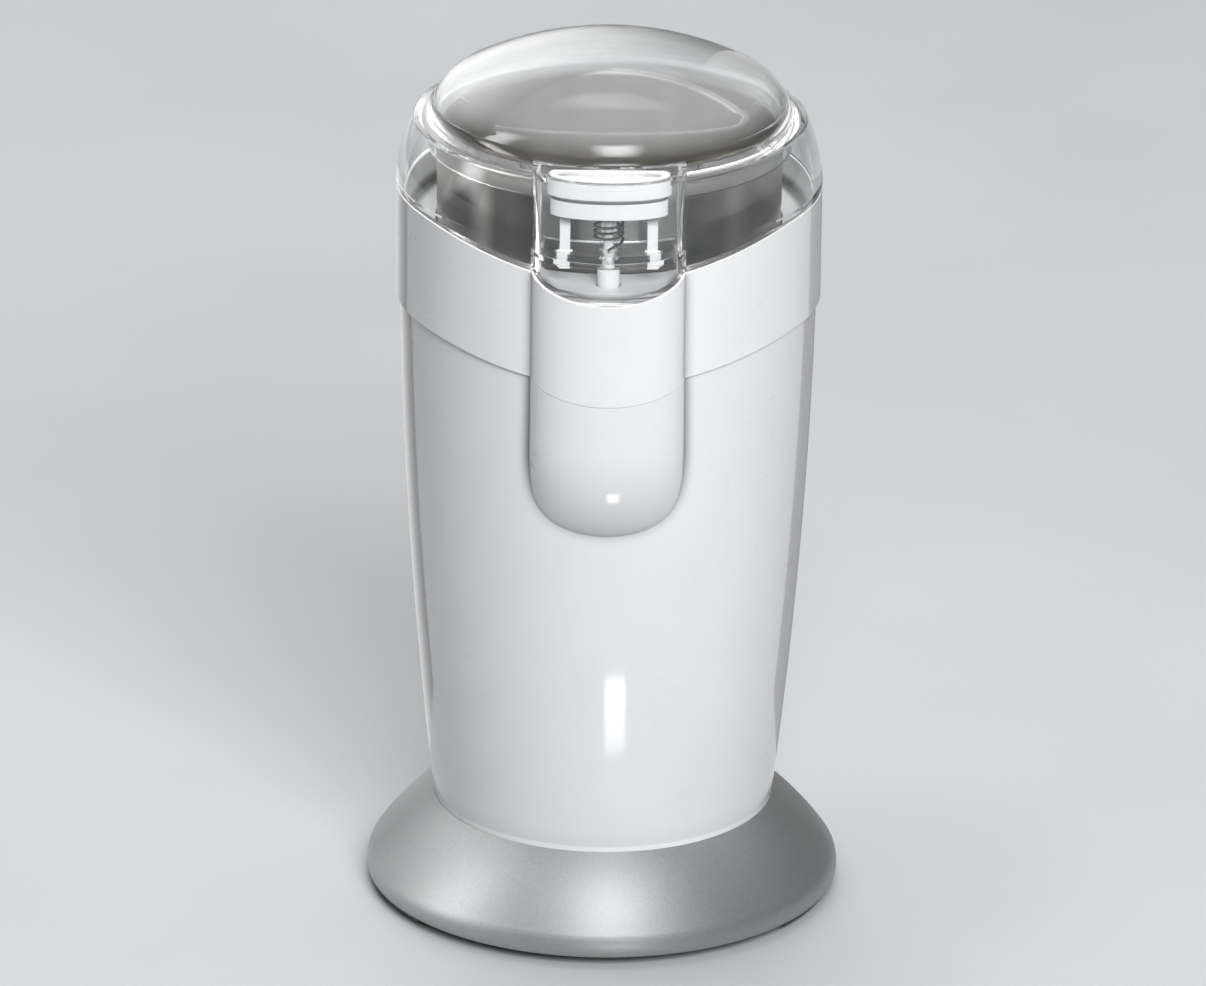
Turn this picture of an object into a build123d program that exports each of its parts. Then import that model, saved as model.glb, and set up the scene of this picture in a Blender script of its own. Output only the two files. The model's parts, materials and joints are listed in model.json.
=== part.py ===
from build123d import *
from math import asin, cos, degrees, hypot, pi, radians, sin, sqrt, tan
import os

os.makedirs("parts", exist_ok=True)

# Electric blade grinder with a flared foot, a clear domed lid and a push button in the lid.
# Origin on the table under the middle of the foot, +Z up, the button column on the -Y side.
# All sizes are in millimetres.

# Overall levels above the table
dome_height = 13.0
rim_z = 2.5
seam_z = 21.6
collar_height = 25.5
collar_high_z = 167.0

# Foot
rim_radius = 53.2
knee_inset = 0.9
knee_z = 7.2
flare_inset = 6.3
flare_z = 13.9
neck_radius = 38.6
foot_wall = 2.2
foot_ceiling_z = 17.0
foot_ceiling_thickness = 2.0
foot_opening_radius = 21.0
spigot_height = 5.5
spigot_clearance = 0.25
spigot_wall = 2.2
cord_notch_width = 9.4

# Cord winder under the foot
winder_low_z = 1.3
winder_thickness = 2.0
lip_thickness = 1.0
lip_inset = 0.8
lobe_inner_gap = 0.5
plate_radius = 34.0
drum_radius = 33.5
drum_wall = 2.0
drum_top_gap = 0.2
lobe_spread = 28.5
lobe_turn = 24.25
vent_count = 16
vent_width = 1.8
vent_length = 9.0
vent_centre_radius = 14.0

# Rubber feet
pad_radius = 4.4
pad_thickness = 2.1
pad_centre_radius = 43.5
pad_clearance = 0.15
pad_edge = 0.5

# Screws that hold the winder to the foot
base_screw_circle = 26.0
base_screw_turn = 45.0
base_screw_count = 4
base_screw_radius = 1.3
base_screw_head_radius = 2.8
base_screw_head_height = 1.9
base_screw_cross_length = 3.6
base_screw_cross_width = 0.8
base_screw_cross_depth = 1.0
base_screw_length = 11.5
screw_pocket_depth = 3.6
screw_post_wall = 1.6
screw_clearance = 0.3

# Cord inlet
inlet_z = 8.6
inlet_bore_radius = 3.3
inlet_neck_radius = 4.4
inlet_flange_thickness = 1.5
inlet_nose_length = 2.5
inlet_clearance = 0.1

# Housing
housing_foot_radius = 38.4
housing_mid_radius = 43.9
housing_mid_z = 83.0
collar_step = 0.9
housing_wall = 2.2
ledge_inner_radius = 40.8
ledge_drop = 23.5
ledge_thickness = 2.0
ledge_notch_half_width = 14.0
ledge_boss_radius = 3.2
ledge_boss_depth = 5.0

# Dipping edges of the collar: level at the sides, curving down towards the front
dip_start = 20.0
dip_overreach = 10.8
collar_high_dip_radius = 57.0
collar_low_dip_radius = 72.0
seam_gap = 0.25
lid_gap = 0.36

# Column at the front, an ellipse in plan, and the finger that it ends in on the housing
column_inset = 4.7
column_half_width = 17.0
column_depth = 10.4
column_wall = 2.0
finger_drop = 19.3
finger_axis_offset = 24.3
finger_turn = 56.0

# Collar
collar_radius = 47.2
collar_wall = 2.2
deck_drop = 7.5
deck_thickness = 2.0
platform_thickness = 4.6
platform_gap = 0.5
platform_floor = 1.5
collar_spigot_wall = 1.8
collar_spigot_clearance = 0.25
collar_spigot_drop = 8.5
collar_spigot_rise = 4.5
collar_web_thickness = 3.0
bowl_fit = 0.3
guide_radius = 4.2
guide_drop = 8.5

# Grinding bowl
bowl_inset = 9.0
bowl_wall = 0.8
bowl_rim_rise = 12.5
bowl_rim_radius = 0.7
bowl_depth = 45.5
bowl_corner_radius = 10.0
bowl_hole_radius = 7.0

# Carrier under the bowl
carrier_thickness = 4.0
carrier_clearance = 0.3
carrier_rib_radius = 27.0
carrier_rib_width = 3.0
carrier_hub_radius = 11.0
carrier_notch_half_width = 13.0
carrier_notch_setback = 3.6
carrier_screw_count = 3
carrier_screw_radius = 1.3
carrier_screw_head_radius = 2.6
carrier_screw_head_height = 1.8

# Rotor
shaft_radius = 3.0
shaft_low_z = 23.0
shaft_shoulder_rise = 4.0
thread_radius = 2.4
shaft_end_length = 6.2
shaft_end_chamfer = 0.4
running_clearance = 0.05
bearing_radius = 7.0
bearing_length = 8.0
bearing_shoulder = 1.0
shoulder_bore_radius = 5.0
lower_bearing_z = 33.0
upper_bearing_z = 113.0
armature_radius = 15.4
armature_slot_count = 12
armature_slot_width = 2.0
armature_slot_depth = 7.0
crown_radius = 12.8
crown_length = 7.0
crown_round = 1.8
commutator_radius = 8.5
commutator_low_z = 47.0
commutator_length = 12.0
commutator_slot_width = 0.5
riser_radius = 9.8
riser_length = 2.0
fan_radius = 25.0
fan_low_z = 24.0
fan_disc_thickness = 1.4
fan_blade_height = 6.0
fan_blade_thickness = 1.2
fan_blade_count = 9
fan_hub_radius = 6.0
fan_blade_inset = 3.0

# Blade
blade_reach = 31.0
blade_width = 12.0
blade_thickness = 1.6
blade_pitch = 14.0
blade_centre_length = 24.0
wing_width = 10.8
spacer_radius = 5.4
spacer_height = 2.3
nut_flats = 8.0
nut_height = 3.2
seal_radius = 9.6
seal_thickness = 3.0
seal_lip = 0.5

# Stator
stack_low_z = 72.0
stack_height = 32.0
stack_width = 50.0
stack_depth = 56.0
stack_corner_radius = 6.0
air_gap = 0.6
pole_half_width = 9.3
window_width = 7.6
window_reach = 22.4
coil_clearance = 0.2
coil_overhang = 8.0
coil_round = 5.0
coil_inner_round = 0.5
bolt_x = 20.8
bolt_y = 23.6
bolt_radius = 1.8
bolt_clearance = 0.2
bolt_head_radius = 3.2
bolt_head_height = 2.4

# Motor brackets
bracket_thickness = 4.0
bracket_post_radius = 3.8
lower_plate_z = 38.0
upper_plate_z = 114.0
hub_wall = 2.5
bracket_vent_radius = 5.5
bracket_vent_circle = 17.0
bracket_vent_count = 4
bracket_vent_turn = 45.0
cushion_radius = 5.5

# Brushes
brush_width = 5.0
brush_height = 6.0
brush_length = 11.0
brush_gap = 0.3
brush_z = 53.0
holder_wall = 0.9
holder_clearance = 0.15
holder_start = 11.0
holder_end = 30.0
brush_spring_wire = 0.4
brush_spring_radius = 1.7
brush_spring_turns = 6

# Suppression capacitor
capacitor_width = 26.0
capacitor_depth = 8.5
capacitor_height = 15.0
capacitor_round = 1.5
capacitor_gap = 0.3
capacitor_z = 80.0

# Plunger between the button and the switch
plunger_advance = 2.5
pin_radius = 2.4
pin_rise = 3.9
pin_edge = 0.3
flange_radius = 4.2
flange_thickness = 1.5
flange_gap = 0.3
plunger_stem_radius = 1.9
plunger_tip_radius = 1.2
plunger_tip_length = 1.7
plunger_clearance = 0.3
tip_gap = 1.1
press_gap = 0.4

# Switch and its bracket
switch_width = 19.8
switch_height = 10.0
switch_thickness = 6.2
switch_drop = 4.0
switch_setback = 1.5
bracket_plate_thickness = 1.4
bracket_half_width = 11.5
bracket_drop = 5.0
spring_seat_drop = 12.0
spring_seat_thickness = 2.0
spring_seat_depth = 8.0
spring_seat_half_width = 7.5
bracket_tab_depth = 7.0
bracket_screw_spacing = 16.0
bracket_screw_setback = 6.5
bracket_screw_length = 5.0
switch_screw_spacing = 9.5
switch_screw_height = 3.0
switch_screw_radius = 1.0
switch_screw_head_radius = 1.9
switch_screw_head_height = 1.2
terminal_width = 3.2
terminal_thickness = 0.5
terminal_length = 4.0
terminal_offset = 6.0
lever_pivot_x = -8.5
lever_pivot_height = 0.9
lever_rest_angle = 24.0
lever_length = 16.0
lever_width = 4.0
lever_thickness = 0.4
trunnion_radius = 0.6
trunnion_clearance = 0.05
ear_gap = 0.3
ear_height = 2.2
ear_length = 2.8
nub_x = -2.0
nub_width = 1.6
nub_height = 0.9

# Lid
lid_wall = 2.0
shoulder_low_rise = 1.6
shoulder_mid_inset = 1.6
shoulder_mid_rise = 10.0
shoulder_inset = 3.7
shoulder_rise = 15.4
shoulder_round = 0.9
ledge_inset = 6.6
ledge_rise = 1.6
dome_inset = 8.2
dome_foot_rise = 19.5
knuckle_radius = 10.0
knuckle_drop = 4.5
skirt_inset = 7.2
skirt_wall = 1.2
skirt_rise = 9.5

# Clear tower in the lid that holds the button
tower_half_width = 16.6
tower_depth = 10.3
tower_wall = 1.7
tower_rise = 17.8
tower_roof = 1.6
tower_drop = 9.5
well_rise = 1.0
well_floor_thickness = 1.7
well_fit = 0.15
rib_height = 1.1
rib_width = 0.8
boss_radius = 2.1
boss_clearance = 0.3
boss_drop = 2.5

# Button
button_travel = 3.0
cap_advance = 2.2
cap_half_width = 13.2
cap_depth = 5.8
cap_back_depth = 1.6
cap_rise = 18.3
cap_height = 4.6
cap_gap = 0.35
cap_edge = 0.9
dish_depth = 0.5
dish_margin = 1.5
neck_inset = 1.2
neck_height = 1.1
dish_slope = 0.9
ring_inset = 0.7
ring_height = 3.6
spring_cup_radius = 3.9
stem_width = 3.2
stem_thickness = 1.6
stem_pin_radius = 1.1
leg_x = 9.3
leg_width = 2.2
leg_thickness = 1.6
hook_reach = 1.1
hook_height = 2.6
hook_gap = 0.3
slot_clearance = 0.5
spring_wire = 0.6
spring_radius = 3.0
spring_turns = 3
plunger_spring_turns = 4
coil_end_share = 0.5
coil_arcs_per_turn = 4

# Inner wiring
wire_radius = 0.9
wire_setback = 9.5
wire_bend = 4.0
wire_low_z = 60.0


# Worked out radii and levels
dip_reach = collar_radius + dip_overreach
knee_radius = rim_radius - knee_inset
flare_radius = rim_radius - flare_inset
collar_low_z = collar_high_z - collar_height
housing_top_radius = collar_radius - collar_step
ledge_z = collar_low_z - ledge_drop
column_y = column_inset - collar_radius
finger_top_z = collar_low_z - finger_drop
deck_z = collar_high_z - deck_drop
collar_spigot_low_z = collar_low_z - collar_spigot_drop
collar_spigot_high_z = collar_low_z + collar_spigot_rise
guide_low_z = deck_z - guide_drop
bowl_radius = collar_radius - bowl_inset
bowl_rim_z = collar_high_z + bowl_rim_rise
bowl_floor_z = bowl_rim_z - bowl_depth
carrier_notch_y = column_y + carrier_notch_setback
shaft_shoulder_z = bowl_floor_z + shaft_shoulder_rise
shaft_top_z = shaft_shoulder_z + shaft_end_length
plunger_y = column_y - plunger_advance
pin_top_z = deck_z + pin_rise
switch_low_z = ledge_z - switch_drop
switch_face_y = column_y + switch_setback
bracket_low_z = switch_low_z - bracket_drop
spring_seat_z = guide_low_z - spring_seat_drop
bracket_screw_y = column_y + bracket_screw_setback
lid_radius = collar_radius
shoulder_low_z = collar_high_z + shoulder_low_rise
shoulder_mid_radius = lid_radius - shoulder_mid_inset
shoulder_mid_z = collar_high_z + shoulder_mid_rise
shoulder_radius = lid_radius - shoulder_inset
shoulder_z = collar_high_z + shoulder_rise
ledge_radius = lid_radius - ledge_inset
dome_radius = lid_radius - dome_inset
dome_foot_z = collar_high_z + dome_foot_rise
dome_top_z = dome_foot_z + dome_height
knuckle_z = dome_foot_z - knuckle_drop
skirt_radius = lid_radius - skirt_inset
skirt_low_z = collar_high_z + skirt_rise
tower_back_radius = dome_radius
tower_top_z = collar_high_z + tower_rise
tower_low_z = deck_z - tower_drop
well_floor_z = collar_high_z + well_rise
cap_y = column_y - cap_advance
cap_top_z = collar_high_z + cap_rise
leg_y = plunger_y
wire_y = column_y + wire_setback
winder_top_z = winder_low_z + winder_thickness
inlet_flange_radius = inlet_z - winder_top_z - inlet_clearance
ceiling_top_z = foot_ceiling_z + foot_ceiling_thickness
housing_bore_at_seam = housing_foot_radius - housing_wall
spigot_radius = housing_bore_at_seam - spigot_clearance
drum_height = foot_ceiling_z - drum_top_gap - winder_top_z
finger_axis_y = column_y + finger_axis_offset
column_inner_half_width = column_half_width - column_wall
column_inner_depth = column_depth - column_wall
tower_inner_half_width = tower_half_width - tower_wall
tower_inner_depth = tower_depth - tower_wall
deck_low_z = deck_z - deck_thickness
platform_low_z = deck_z - platform_thickness
bowl_bore_radius = bowl_radius + bowl_fit
platform_half_width = tower_inner_half_width - platform_gap
platform_depth = tower_inner_depth - platform_gap
carrier_low_z = ledge_z + ledge_thickness
carrier_top_z = carrier_low_z + carrier_thickness
stack_top_z = stack_low_z + stack_height
bore_radius = armature_radius + air_gap
upper_plate_top_z = upper_plate_z + bracket_thickness
switch_top_z = switch_low_z + switch_height
lever_pivot_z = switch_top_z + lever_pivot_height
lever_pivot_y = switch_face_y - switch_thickness / 2
plunger_low_z = lever_pivot_z - lever_pivot_x * tan(radians(lever_rest_angle)) + tip_gap
flange_top_z = guide_low_z - flange_gap
flange_low_z = flange_top_z - flange_thickness
cap_low_z = cap_top_z - cap_height
ring_top_z = cap_low_z - neck_height
ring_low_z = ring_top_z - ring_height
guide_floor_low_z = well_floor_z - well_floor_thickness
stem_low_z = pin_top_z + press_gap
hook_top_z = guide_floor_low_z - hook_gap
stem_shoulder_z = well_floor_z + button_travel + boss_clearance


def arc_centre(first, middle, last):
    """Centre and radius of the circle through three points of a profile."""
    (x1, z1), (x2, z2), (x3, z3) = first, middle, last
    a = 2 * (x1 * (z2 - z3) - z1 * (x2 - x3) + x2 * z3 - x3 * z2)
    s1 = x1 * x1 + z1 * z1
    s2 = x2 * x2 + z2 * z2
    s3 = x3 * x3 + z3 * z3
    cx = (s1 * (z2 - z3) + s2 * (z3 - z1) + s3 * (z1 - z2)) / a
    cz = (s1 * (x3 - x2) + s2 * (x1 - x3) + s3 * (x2 - x1)) / a
    return cx, cz, hypot(x1 - cx, z1 - cz)


def inset_arc(points, inset):
    """The same arc moved towards its centre, for the inner face of a wall."""
    cx, cz, radius = arc_centre(*points)
    share = (radius - inset) / radius
    return [(cx + (x - cx) * share, cz + (z - cz) * share) for x, z in points]


def radius_on_arc(points, z):
    """Radius of a profile arc at one height."""
    cx, cz, radius = arc_centre(*points)
    return cx + sqrt(radius * radius - (z - cz) ** 2)


def beyond_edge(edge_z, edge_radius, far_z):
    """Everything above or below a dipping edge, up or down to far_z."""
    run = dip_reach - dip_start
    drop = edge_radius - sqrt(edge_radius * edge_radius - run * run)
    with BuildPart() as region:
        with BuildSketch(Plane.YZ):
            with BuildLine():
                level = Line((dip_reach, edge_z), (-dip_start, edge_z))
                dip = TangentArc(level @ 1, (-dip_reach, edge_z - drop), tangent=level % 1)
                Polyline(dip @ 1, (-dip_reach, far_z), (dip_reach, far_z), level @ 0)
            make_face()
        extrude(amount=dip_reach, both=True)
    return region.part


def disc(radius, low, high, x=0, y=0):
    """A plain upright disc or pin."""
    with BuildPart() as part:
        with BuildSketch(Plane.XY.offset(low)):
            with Locations((x, y)):
                Circle(radius)
        extrude(amount=high - low)
    return part.part


def ring(inner, outer, low, high):
    """A plain ring about the main axis."""
    with BuildPart() as part:
        with BuildSketch(Plane.XY.offset(low)):
            Circle(outer)
            Circle(inner, mode=Mode.SUBTRACT)
        extrude(amount=high - low)
    return part.part


def column(half_width, depth, low, high):
    """Upright ellipse of the front column."""
    with BuildPart() as part:
        with BuildSketch(Plane.XY.offset(low)):
            with Locations((0, column_y)):
                Ellipse(half_width, depth)
        extrude(amount=high - low)
    return part.part


def finger(half_width, depth):
    """The column's ellipse turned down and in towards the housing."""
    with BuildPart() as part:
        with BuildSketch(Plane.XY.offset(finger_top_z)):
            with Locations((0, column_y)):
                Ellipse(half_width, depth)
        revolve(axis=Axis((0, finger_axis_y, finger_top_z), (1, 0, 0)), revolution_arc=finger_turn)
    return part.part


def tower(half_width, depth, back_radius, low, high):
    """The lid's tower: the ellipse in front, straight flanks and a round back."""
    with BuildPart() as part:
        with BuildSketch(Plane.XY.offset(low)):
            with Locations((0, column_y)):
                Ellipse(half_width, depth)
                Rectangle(2 * half_width, -column_y, align=(Align.CENTER, Align.MIN))
            Circle(back_radius, mode=Mode.SUBTRACT)
            with Locations((0, back_radius)):
                Rectangle(2 * back_radius, 2 * back_radius, mode=Mode.SUBTRACT)
        extrude(amount=high - low)
    return part.part


def cap_outline(grow):
    """The button's outline: a half ellipse in front, rounded corners and a straight back."""
    half_width = cap_half_width + grow
    corner = cap_back_depth + grow
    with BuildSketch() as outline:
        with BuildLine():
            front = EllipticalCenterArc((0, cap_y), half_width, cap_depth + grow,
                                        start_angle=180, arc_size=180)
            right = TangentArc(front @ 1, (half_width - corner, cap_y + corner), tangent=(0, 1))
            back = Line(right @ 1, (corner - half_width, cap_y + corner))
            TangentArc(back @ 1, front @ 0, tangent=(-1, 0))
        make_face()
    return outline.sketch


def cap_plan(grow, low, height):
    """A prism on the button's outline."""
    with BuildPart() as part:
        with BuildSketch(Plane.XY.offset(low)):
            add(cap_outline(grow))
        extrude(amount=height)
    return part.part


def biarc(start, leave, end, arrive):
    """Two arcs that join two points with the given directions."""
    chord = end - start
    total = leave + arrive
    lean = chord.dot(total)
    bend = 2 * (1 - leave.dot(arrive))
    if bend < 1e-9:
        reach = chord.dot(chord) / (2 * lean)
    else:
        reach = (-lean + sqrt(lean * lean + bend * chord.dot(chord))) / bend
    middle = (start + end + (leave - arrive) * reach) * 0.5
    across = (chord - total * reach).normalized()
    TangentArc(start, middle, tangent=leave)
    TangentArc(middle, end, tangent=across)


def coil(centre, low, high, radius, wire, turns):
    """A wound spring in one tube, with ends that run straight on to their seats."""
    rise = radius * coil_end_share
    body_low = low + wire + rise
    body_high = high - wire - rise
    pitch = (body_high - body_low) / turns
    slope = pitch / (2 * pi * radius)
    level = 1 / sqrt(1 + slope * slope)
    places = []
    for step in range(coil_arcs_per_turn * turns + 1):
        angle = 2 * pi * step / coil_arcs_per_turn
        place = Vector(centre[0] + radius * cos(angle), centre[1] + radius * sin(angle),
                       body_low + pitch * step / coil_arcs_per_turn)
        heading = Vector(-sin(angle) * level, cos(angle) * level, slope * level)
        places.append((place, heading))
    up = Vector(0, 0, 1)
    foot = Vector(centre[0], centre[1] - radius, low)
    head = Vector(centre[0], centre[1] + radius, high)
    with BuildPart() as part:
        with BuildLine() as path:
            Line(foot, foot + up * wire)
            biarc(foot + up * wire, up, *places[0])
            for (start, leave), (end, arrive) in zip(places, places[1:]):
                biarc(start, leave, end, arrive)
            biarc(places[-1][0], places[-1][1], head - up * wire, up)
            Line(head - up * wire, head)
        with BuildSketch(Plane(origin=foot, z_dir=(0, 0, 1))):
            Circle(wire / 2)
        sweep(path=path.wire())
    report_tube(path.wire(), part.part, wire)
    return part.part


def report_tube(path, tube, wire):
    """Print the tube's least gap to itself and its volume against section times length."""
    count = 600
    points = [path.position_at(i / count) for i in range(count + 1)]
    step = path.length / count
    apart = int(3 * wire / step) + 1
    least = path.length
    for i in range(len(points)):
        for j in range(i + apart, len(points)):
            least = min(least, (points[i] - points[j]).length)
    section = pi * wire * wire / 4
    print("coil: least gap", round(least - wire, 2), "volume share",
          round(tube.volume / (section * path.length), 3))


# Foot

flare = [(neck_radius, seam_z), (flare_radius, flare_z), (knee_radius, knee_z)]
inner_flare = inset_arc(flare, foot_wall)

with BuildPart() as hollow_foot:
    with BuildSketch(Plane.XZ):
        with BuildLine():
            inner = ThreePointArc(*inner_flare)
            Polyline(inner @ 1, (rim_radius - foot_wall, rim_z), (0, rim_z), (0, (inner @ 0).Y), inner @ 0)
        make_face()
        with Locations((0, foot_ceiling_z)):
            Rectangle(2 * rim_radius, rim_radius, align=(Align.CENTER, Align.MIN), mode=Mode.SUBTRACT)
    revolve(axis=Axis.Z)

with BuildPart() as base_cover:
    with BuildSketch(Plane.XZ):
        with BuildLine():
            outer = ThreePointArc(*flare)
            edge = TangentArc(outer @ 1, (rim_radius, rim_z), tangent=outer % 1)
            Polyline(edge @ 1, (0, rim_z), (0, ceiling_top_z), (spigot_radius - spigot_wall, ceiling_top_z),
                     (spigot_radius - spigot_wall, seam_z + spigot_height),
                     (spigot_radius, seam_z + spigot_height), (spigot_radius, seam_z), outer @ 0)
        make_face()
    revolve(axis=Axis.Z)
    add(hollow_foot.part, mode=Mode.SUBTRACT)
    with BuildSketch(Plane.XY.offset(foot_ceiling_z)):
        Circle(foot_opening_radius)
    extrude(amount=foot_ceiling_thickness, mode=Mode.SUBTRACT)
    with BuildSketch(Plane.XY.offset(winder_low_z + screw_pocket_depth + screw_post_wall + drum_top_gap)):
        with PolarLocations(base_screw_circle, base_screw_count, start_angle=base_screw_turn):
            Circle(base_screw_radius + screw_post_wall)
    extrude(amount=drum_height - screw_pocket_depth - screw_post_wall + winder_thickness)
    with BuildSketch(Plane.XY.offset(winder_low_z)):
        with PolarLocations(base_screw_circle, base_screw_count, start_angle=base_screw_turn):
            Circle(base_screw_radius)
    extrude(amount=base_screw_length + screw_pocket_depth, mode=Mode.SUBTRACT)
    with BuildSketch(Plane.XZ.offset(-drum_radius - foot_wall)):
        with Locations((0, inlet_z)):
            Circle(cord_notch_width / 2)
            Rectangle(cord_notch_width, inlet_z, align=(Align.CENTER, Align.MAX))
    extrude(amount=-rim_radius, mode=Mode.SUBTRACT)
base_cover.part.label = "base_cover"
export_step(base_cover.part, "parts/base_cover.step")

# Cord winder

lobe_angles = [lobe_turn, 180 - lobe_turn, 180 + lobe_turn, -lobe_turn]
lobe_radius = rim_radius - foot_wall - lobe_inner_gap
pad_places = [(pad_centre_radius * cos(radians(angle)), pad_centre_radius * sin(radians(angle)))
              for angle in lobe_angles]


def lobes(radius, thickness):
    """Four flat tongues that hold the turns of a cord under the foot."""
    reach = 2 * rim_radius
    with BuildPart() as part:
        with BuildSketch(Plane.XY.offset(winder_low_z)):
            for middle in lobe_angles:
                first = radians(middle - lobe_spread / 2)
                last = radians(middle + lobe_spread / 2)
                with BuildLine():
                    Polyline((0, 0), (reach * cos(first), reach * sin(first)),
                             (reach * cos(last), reach * sin(last)), (0, 0))
                make_face()
            Circle(radius, mode=Mode.INTERSECT)
        extrude(amount=thickness)
    return part.part


with BuildPart() as cord_winder:
    with BuildSketch(Plane.XY.offset(winder_low_z)):
        Circle(plate_radius)
    extrude(amount=winder_thickness)
    with BuildSketch(Plane.XY.offset(winder_top_z)):
        Circle(drum_radius)
        Circle(drum_radius - drum_wall, mode=Mode.SUBTRACT)
    extrude(amount=drum_height)
    add(lobes(lobe_radius, winder_thickness))
    add(lobes(rim_radius - lip_inset, lip_thickness))
    with BuildSketch(Plane.XY.offset(winder_top_z)):
        with PolarLocations(base_screw_circle, base_screw_count, start_angle=base_screw_turn):
            Circle(base_screw_head_radius + screw_clearance + screw_post_wall)
    extrude(amount=screw_pocket_depth + screw_post_wall - winder_thickness)
    with BuildSketch(Plane.XY.offset(winder_low_z)):
        with PolarLocations(base_screw_circle, base_screw_count, start_angle=base_screw_turn):
            Circle(base_screw_head_radius + screw_clearance)
    extrude(amount=screw_pocket_depth, mode=Mode.SUBTRACT)
    with BuildSketch(Plane.XY.offset(winder_low_z)):
        with PolarLocations(base_screw_circle, base_screw_count, start_angle=base_screw_turn):
            Circle(base_screw_radius + screw_clearance)
        with PolarLocations(vent_centre_radius, vent_count):
            SlotOverall(vent_length, vent_width)
    extrude(amount=screw_pocket_depth + screw_post_wall, mode=Mode.SUBTRACT)
    with BuildSketch(Plane.XY.offset(winder_low_z)):
        with Locations(*pad_places):
            Circle(pad_radius + pad_clearance)
    extrude(amount=pad_thickness - winder_low_z, mode=Mode.SUBTRACT)
    with BuildSketch(Plane.XZ.offset(-drum_radius - foot_wall)):
        with Locations((0, inlet_z)):
            Circle(inlet_neck_radius + inlet_clearance)
    extrude(amount=drum_radius - 2 * drum_wall, mode=Mode.SUBTRACT)
cord_winder.part.label = "cord_winder"
export_step(cord_winder.part, "parts/cord_winder.step")

drum_bore = drum_radius - drum_wall
inlet_inner_y = sqrt(drum_bore ** 2 - inlet_flange_radius ** 2) - inlet_clearance - inlet_flange_thickness

with BuildPart() as cord_grommet:
    with BuildSketch(Plane.XZ.offset(-drum_radius - inlet_clearance)):
        with Locations((0, inlet_z)):
            Circle(inlet_flange_radius)
    extrude(amount=-inlet_flange_thickness)
    with BuildSketch(Plane.XZ.offset(-drum_radius - inlet_flange_thickness)):
        with Locations((0, inlet_z)):
            Circle(inlet_neck_radius)
    extrude(amount=-inlet_nose_length)
    with BuildSketch(Plane.XZ.offset(-inlet_inner_y)):
        with Locations((0, inlet_z)):
            Circle(inlet_neck_radius)
    extrude(amount=inlet_inner_y - drum_radius - inlet_flange_thickness)
    with BuildSketch(Plane.XZ.offset(-inlet_inner_y)):
        with Locations((0, inlet_z)):
            Circle(inlet_flange_radius)
    extrude(amount=-inlet_flange_thickness)
    with BuildSketch(Plane.XZ.offset(-inlet_inner_y)):
        with Locations((0, inlet_z)):
            Circle(inlet_bore_radius)
    extrude(amount=-drum_radius, mode=Mode.SUBTRACT)
cord_grommet.part.label = "cord_grommet"
export_step(cord_grommet.part, "parts/cord_grommet.step")

with BuildPart() as rubber_feet:
    with BuildSketch(Plane.XY):
        with Locations(*pad_places):
            Circle(pad_radius)
    extrude(amount=pad_thickness)
    chamfer(rubber_feet.edges().group_by(Axis.Z)[0], length=pad_edge)
rubber_feet.part.label = "rubber_feet"
export_step(rubber_feet.part, "parts/rubber_feet.step")

with BuildPart() as base_screws:
    head_low_z = winder_low_z + screw_pocket_depth - base_screw_head_height
    with BuildSketch(Plane.XY.offset(head_low_z)):
        with PolarLocations(base_screw_circle, base_screw_count, start_angle=base_screw_turn):
            Circle(base_screw_head_radius)
    extrude(amount=base_screw_head_height)
    with BuildSketch(Plane.XY.offset(head_low_z)):
        with PolarLocations(base_screw_circle, base_screw_count, start_angle=base_screw_turn):
            Rectangle(base_screw_cross_length, base_screw_cross_width)
            Rectangle(base_screw_cross_width, base_screw_cross_length)
    extrude(amount=base_screw_cross_depth, mode=Mode.SUBTRACT)
    with BuildSketch(Plane.XY.offset(winder_low_z + screw_pocket_depth)):
        with PolarLocations(base_screw_circle, base_screw_count, start_angle=base_screw_turn):
            Circle(base_screw_radius)
    extrude(amount=base_screw_length - base_screw_head_height)
base_screws.part.label = "base_screws"
export_step(base_screws.part, "parts/base_screws.step")

# Housing

side = [(housing_foot_radius, seam_z), (housing_mid_radius, housing_mid_z),
        (housing_top_radius, collar_low_z)]
carrier_radius = radius_on_arc(side, carrier_low_z) - housing_wall - carrier_clearance
carrier_screw_circle = (ledge_inner_radius + carrier_radius - carrier_screw_head_radius) / 2


def upright(inset, low, high):
    """The housing's tapered body between two levels, moved in by a wall."""
    points = inset_arc(side, inset)
    cx, cz, radius = arc_centre(*points)
    levels = [low, (low + high) / 2, high]
    with BuildPart() as part:
        with BuildSketch(Plane.XZ):
            with BuildLine():
                wall = ThreePointArc(*[(cx + sqrt(radius * radius - (z - cz) ** 2), z) for z in levels])
                Polyline(wall @ 1, (0, high), (0, low), wall @ 0)
            make_face()
        revolve(axis=Axis.Z)
    return part.part


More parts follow.
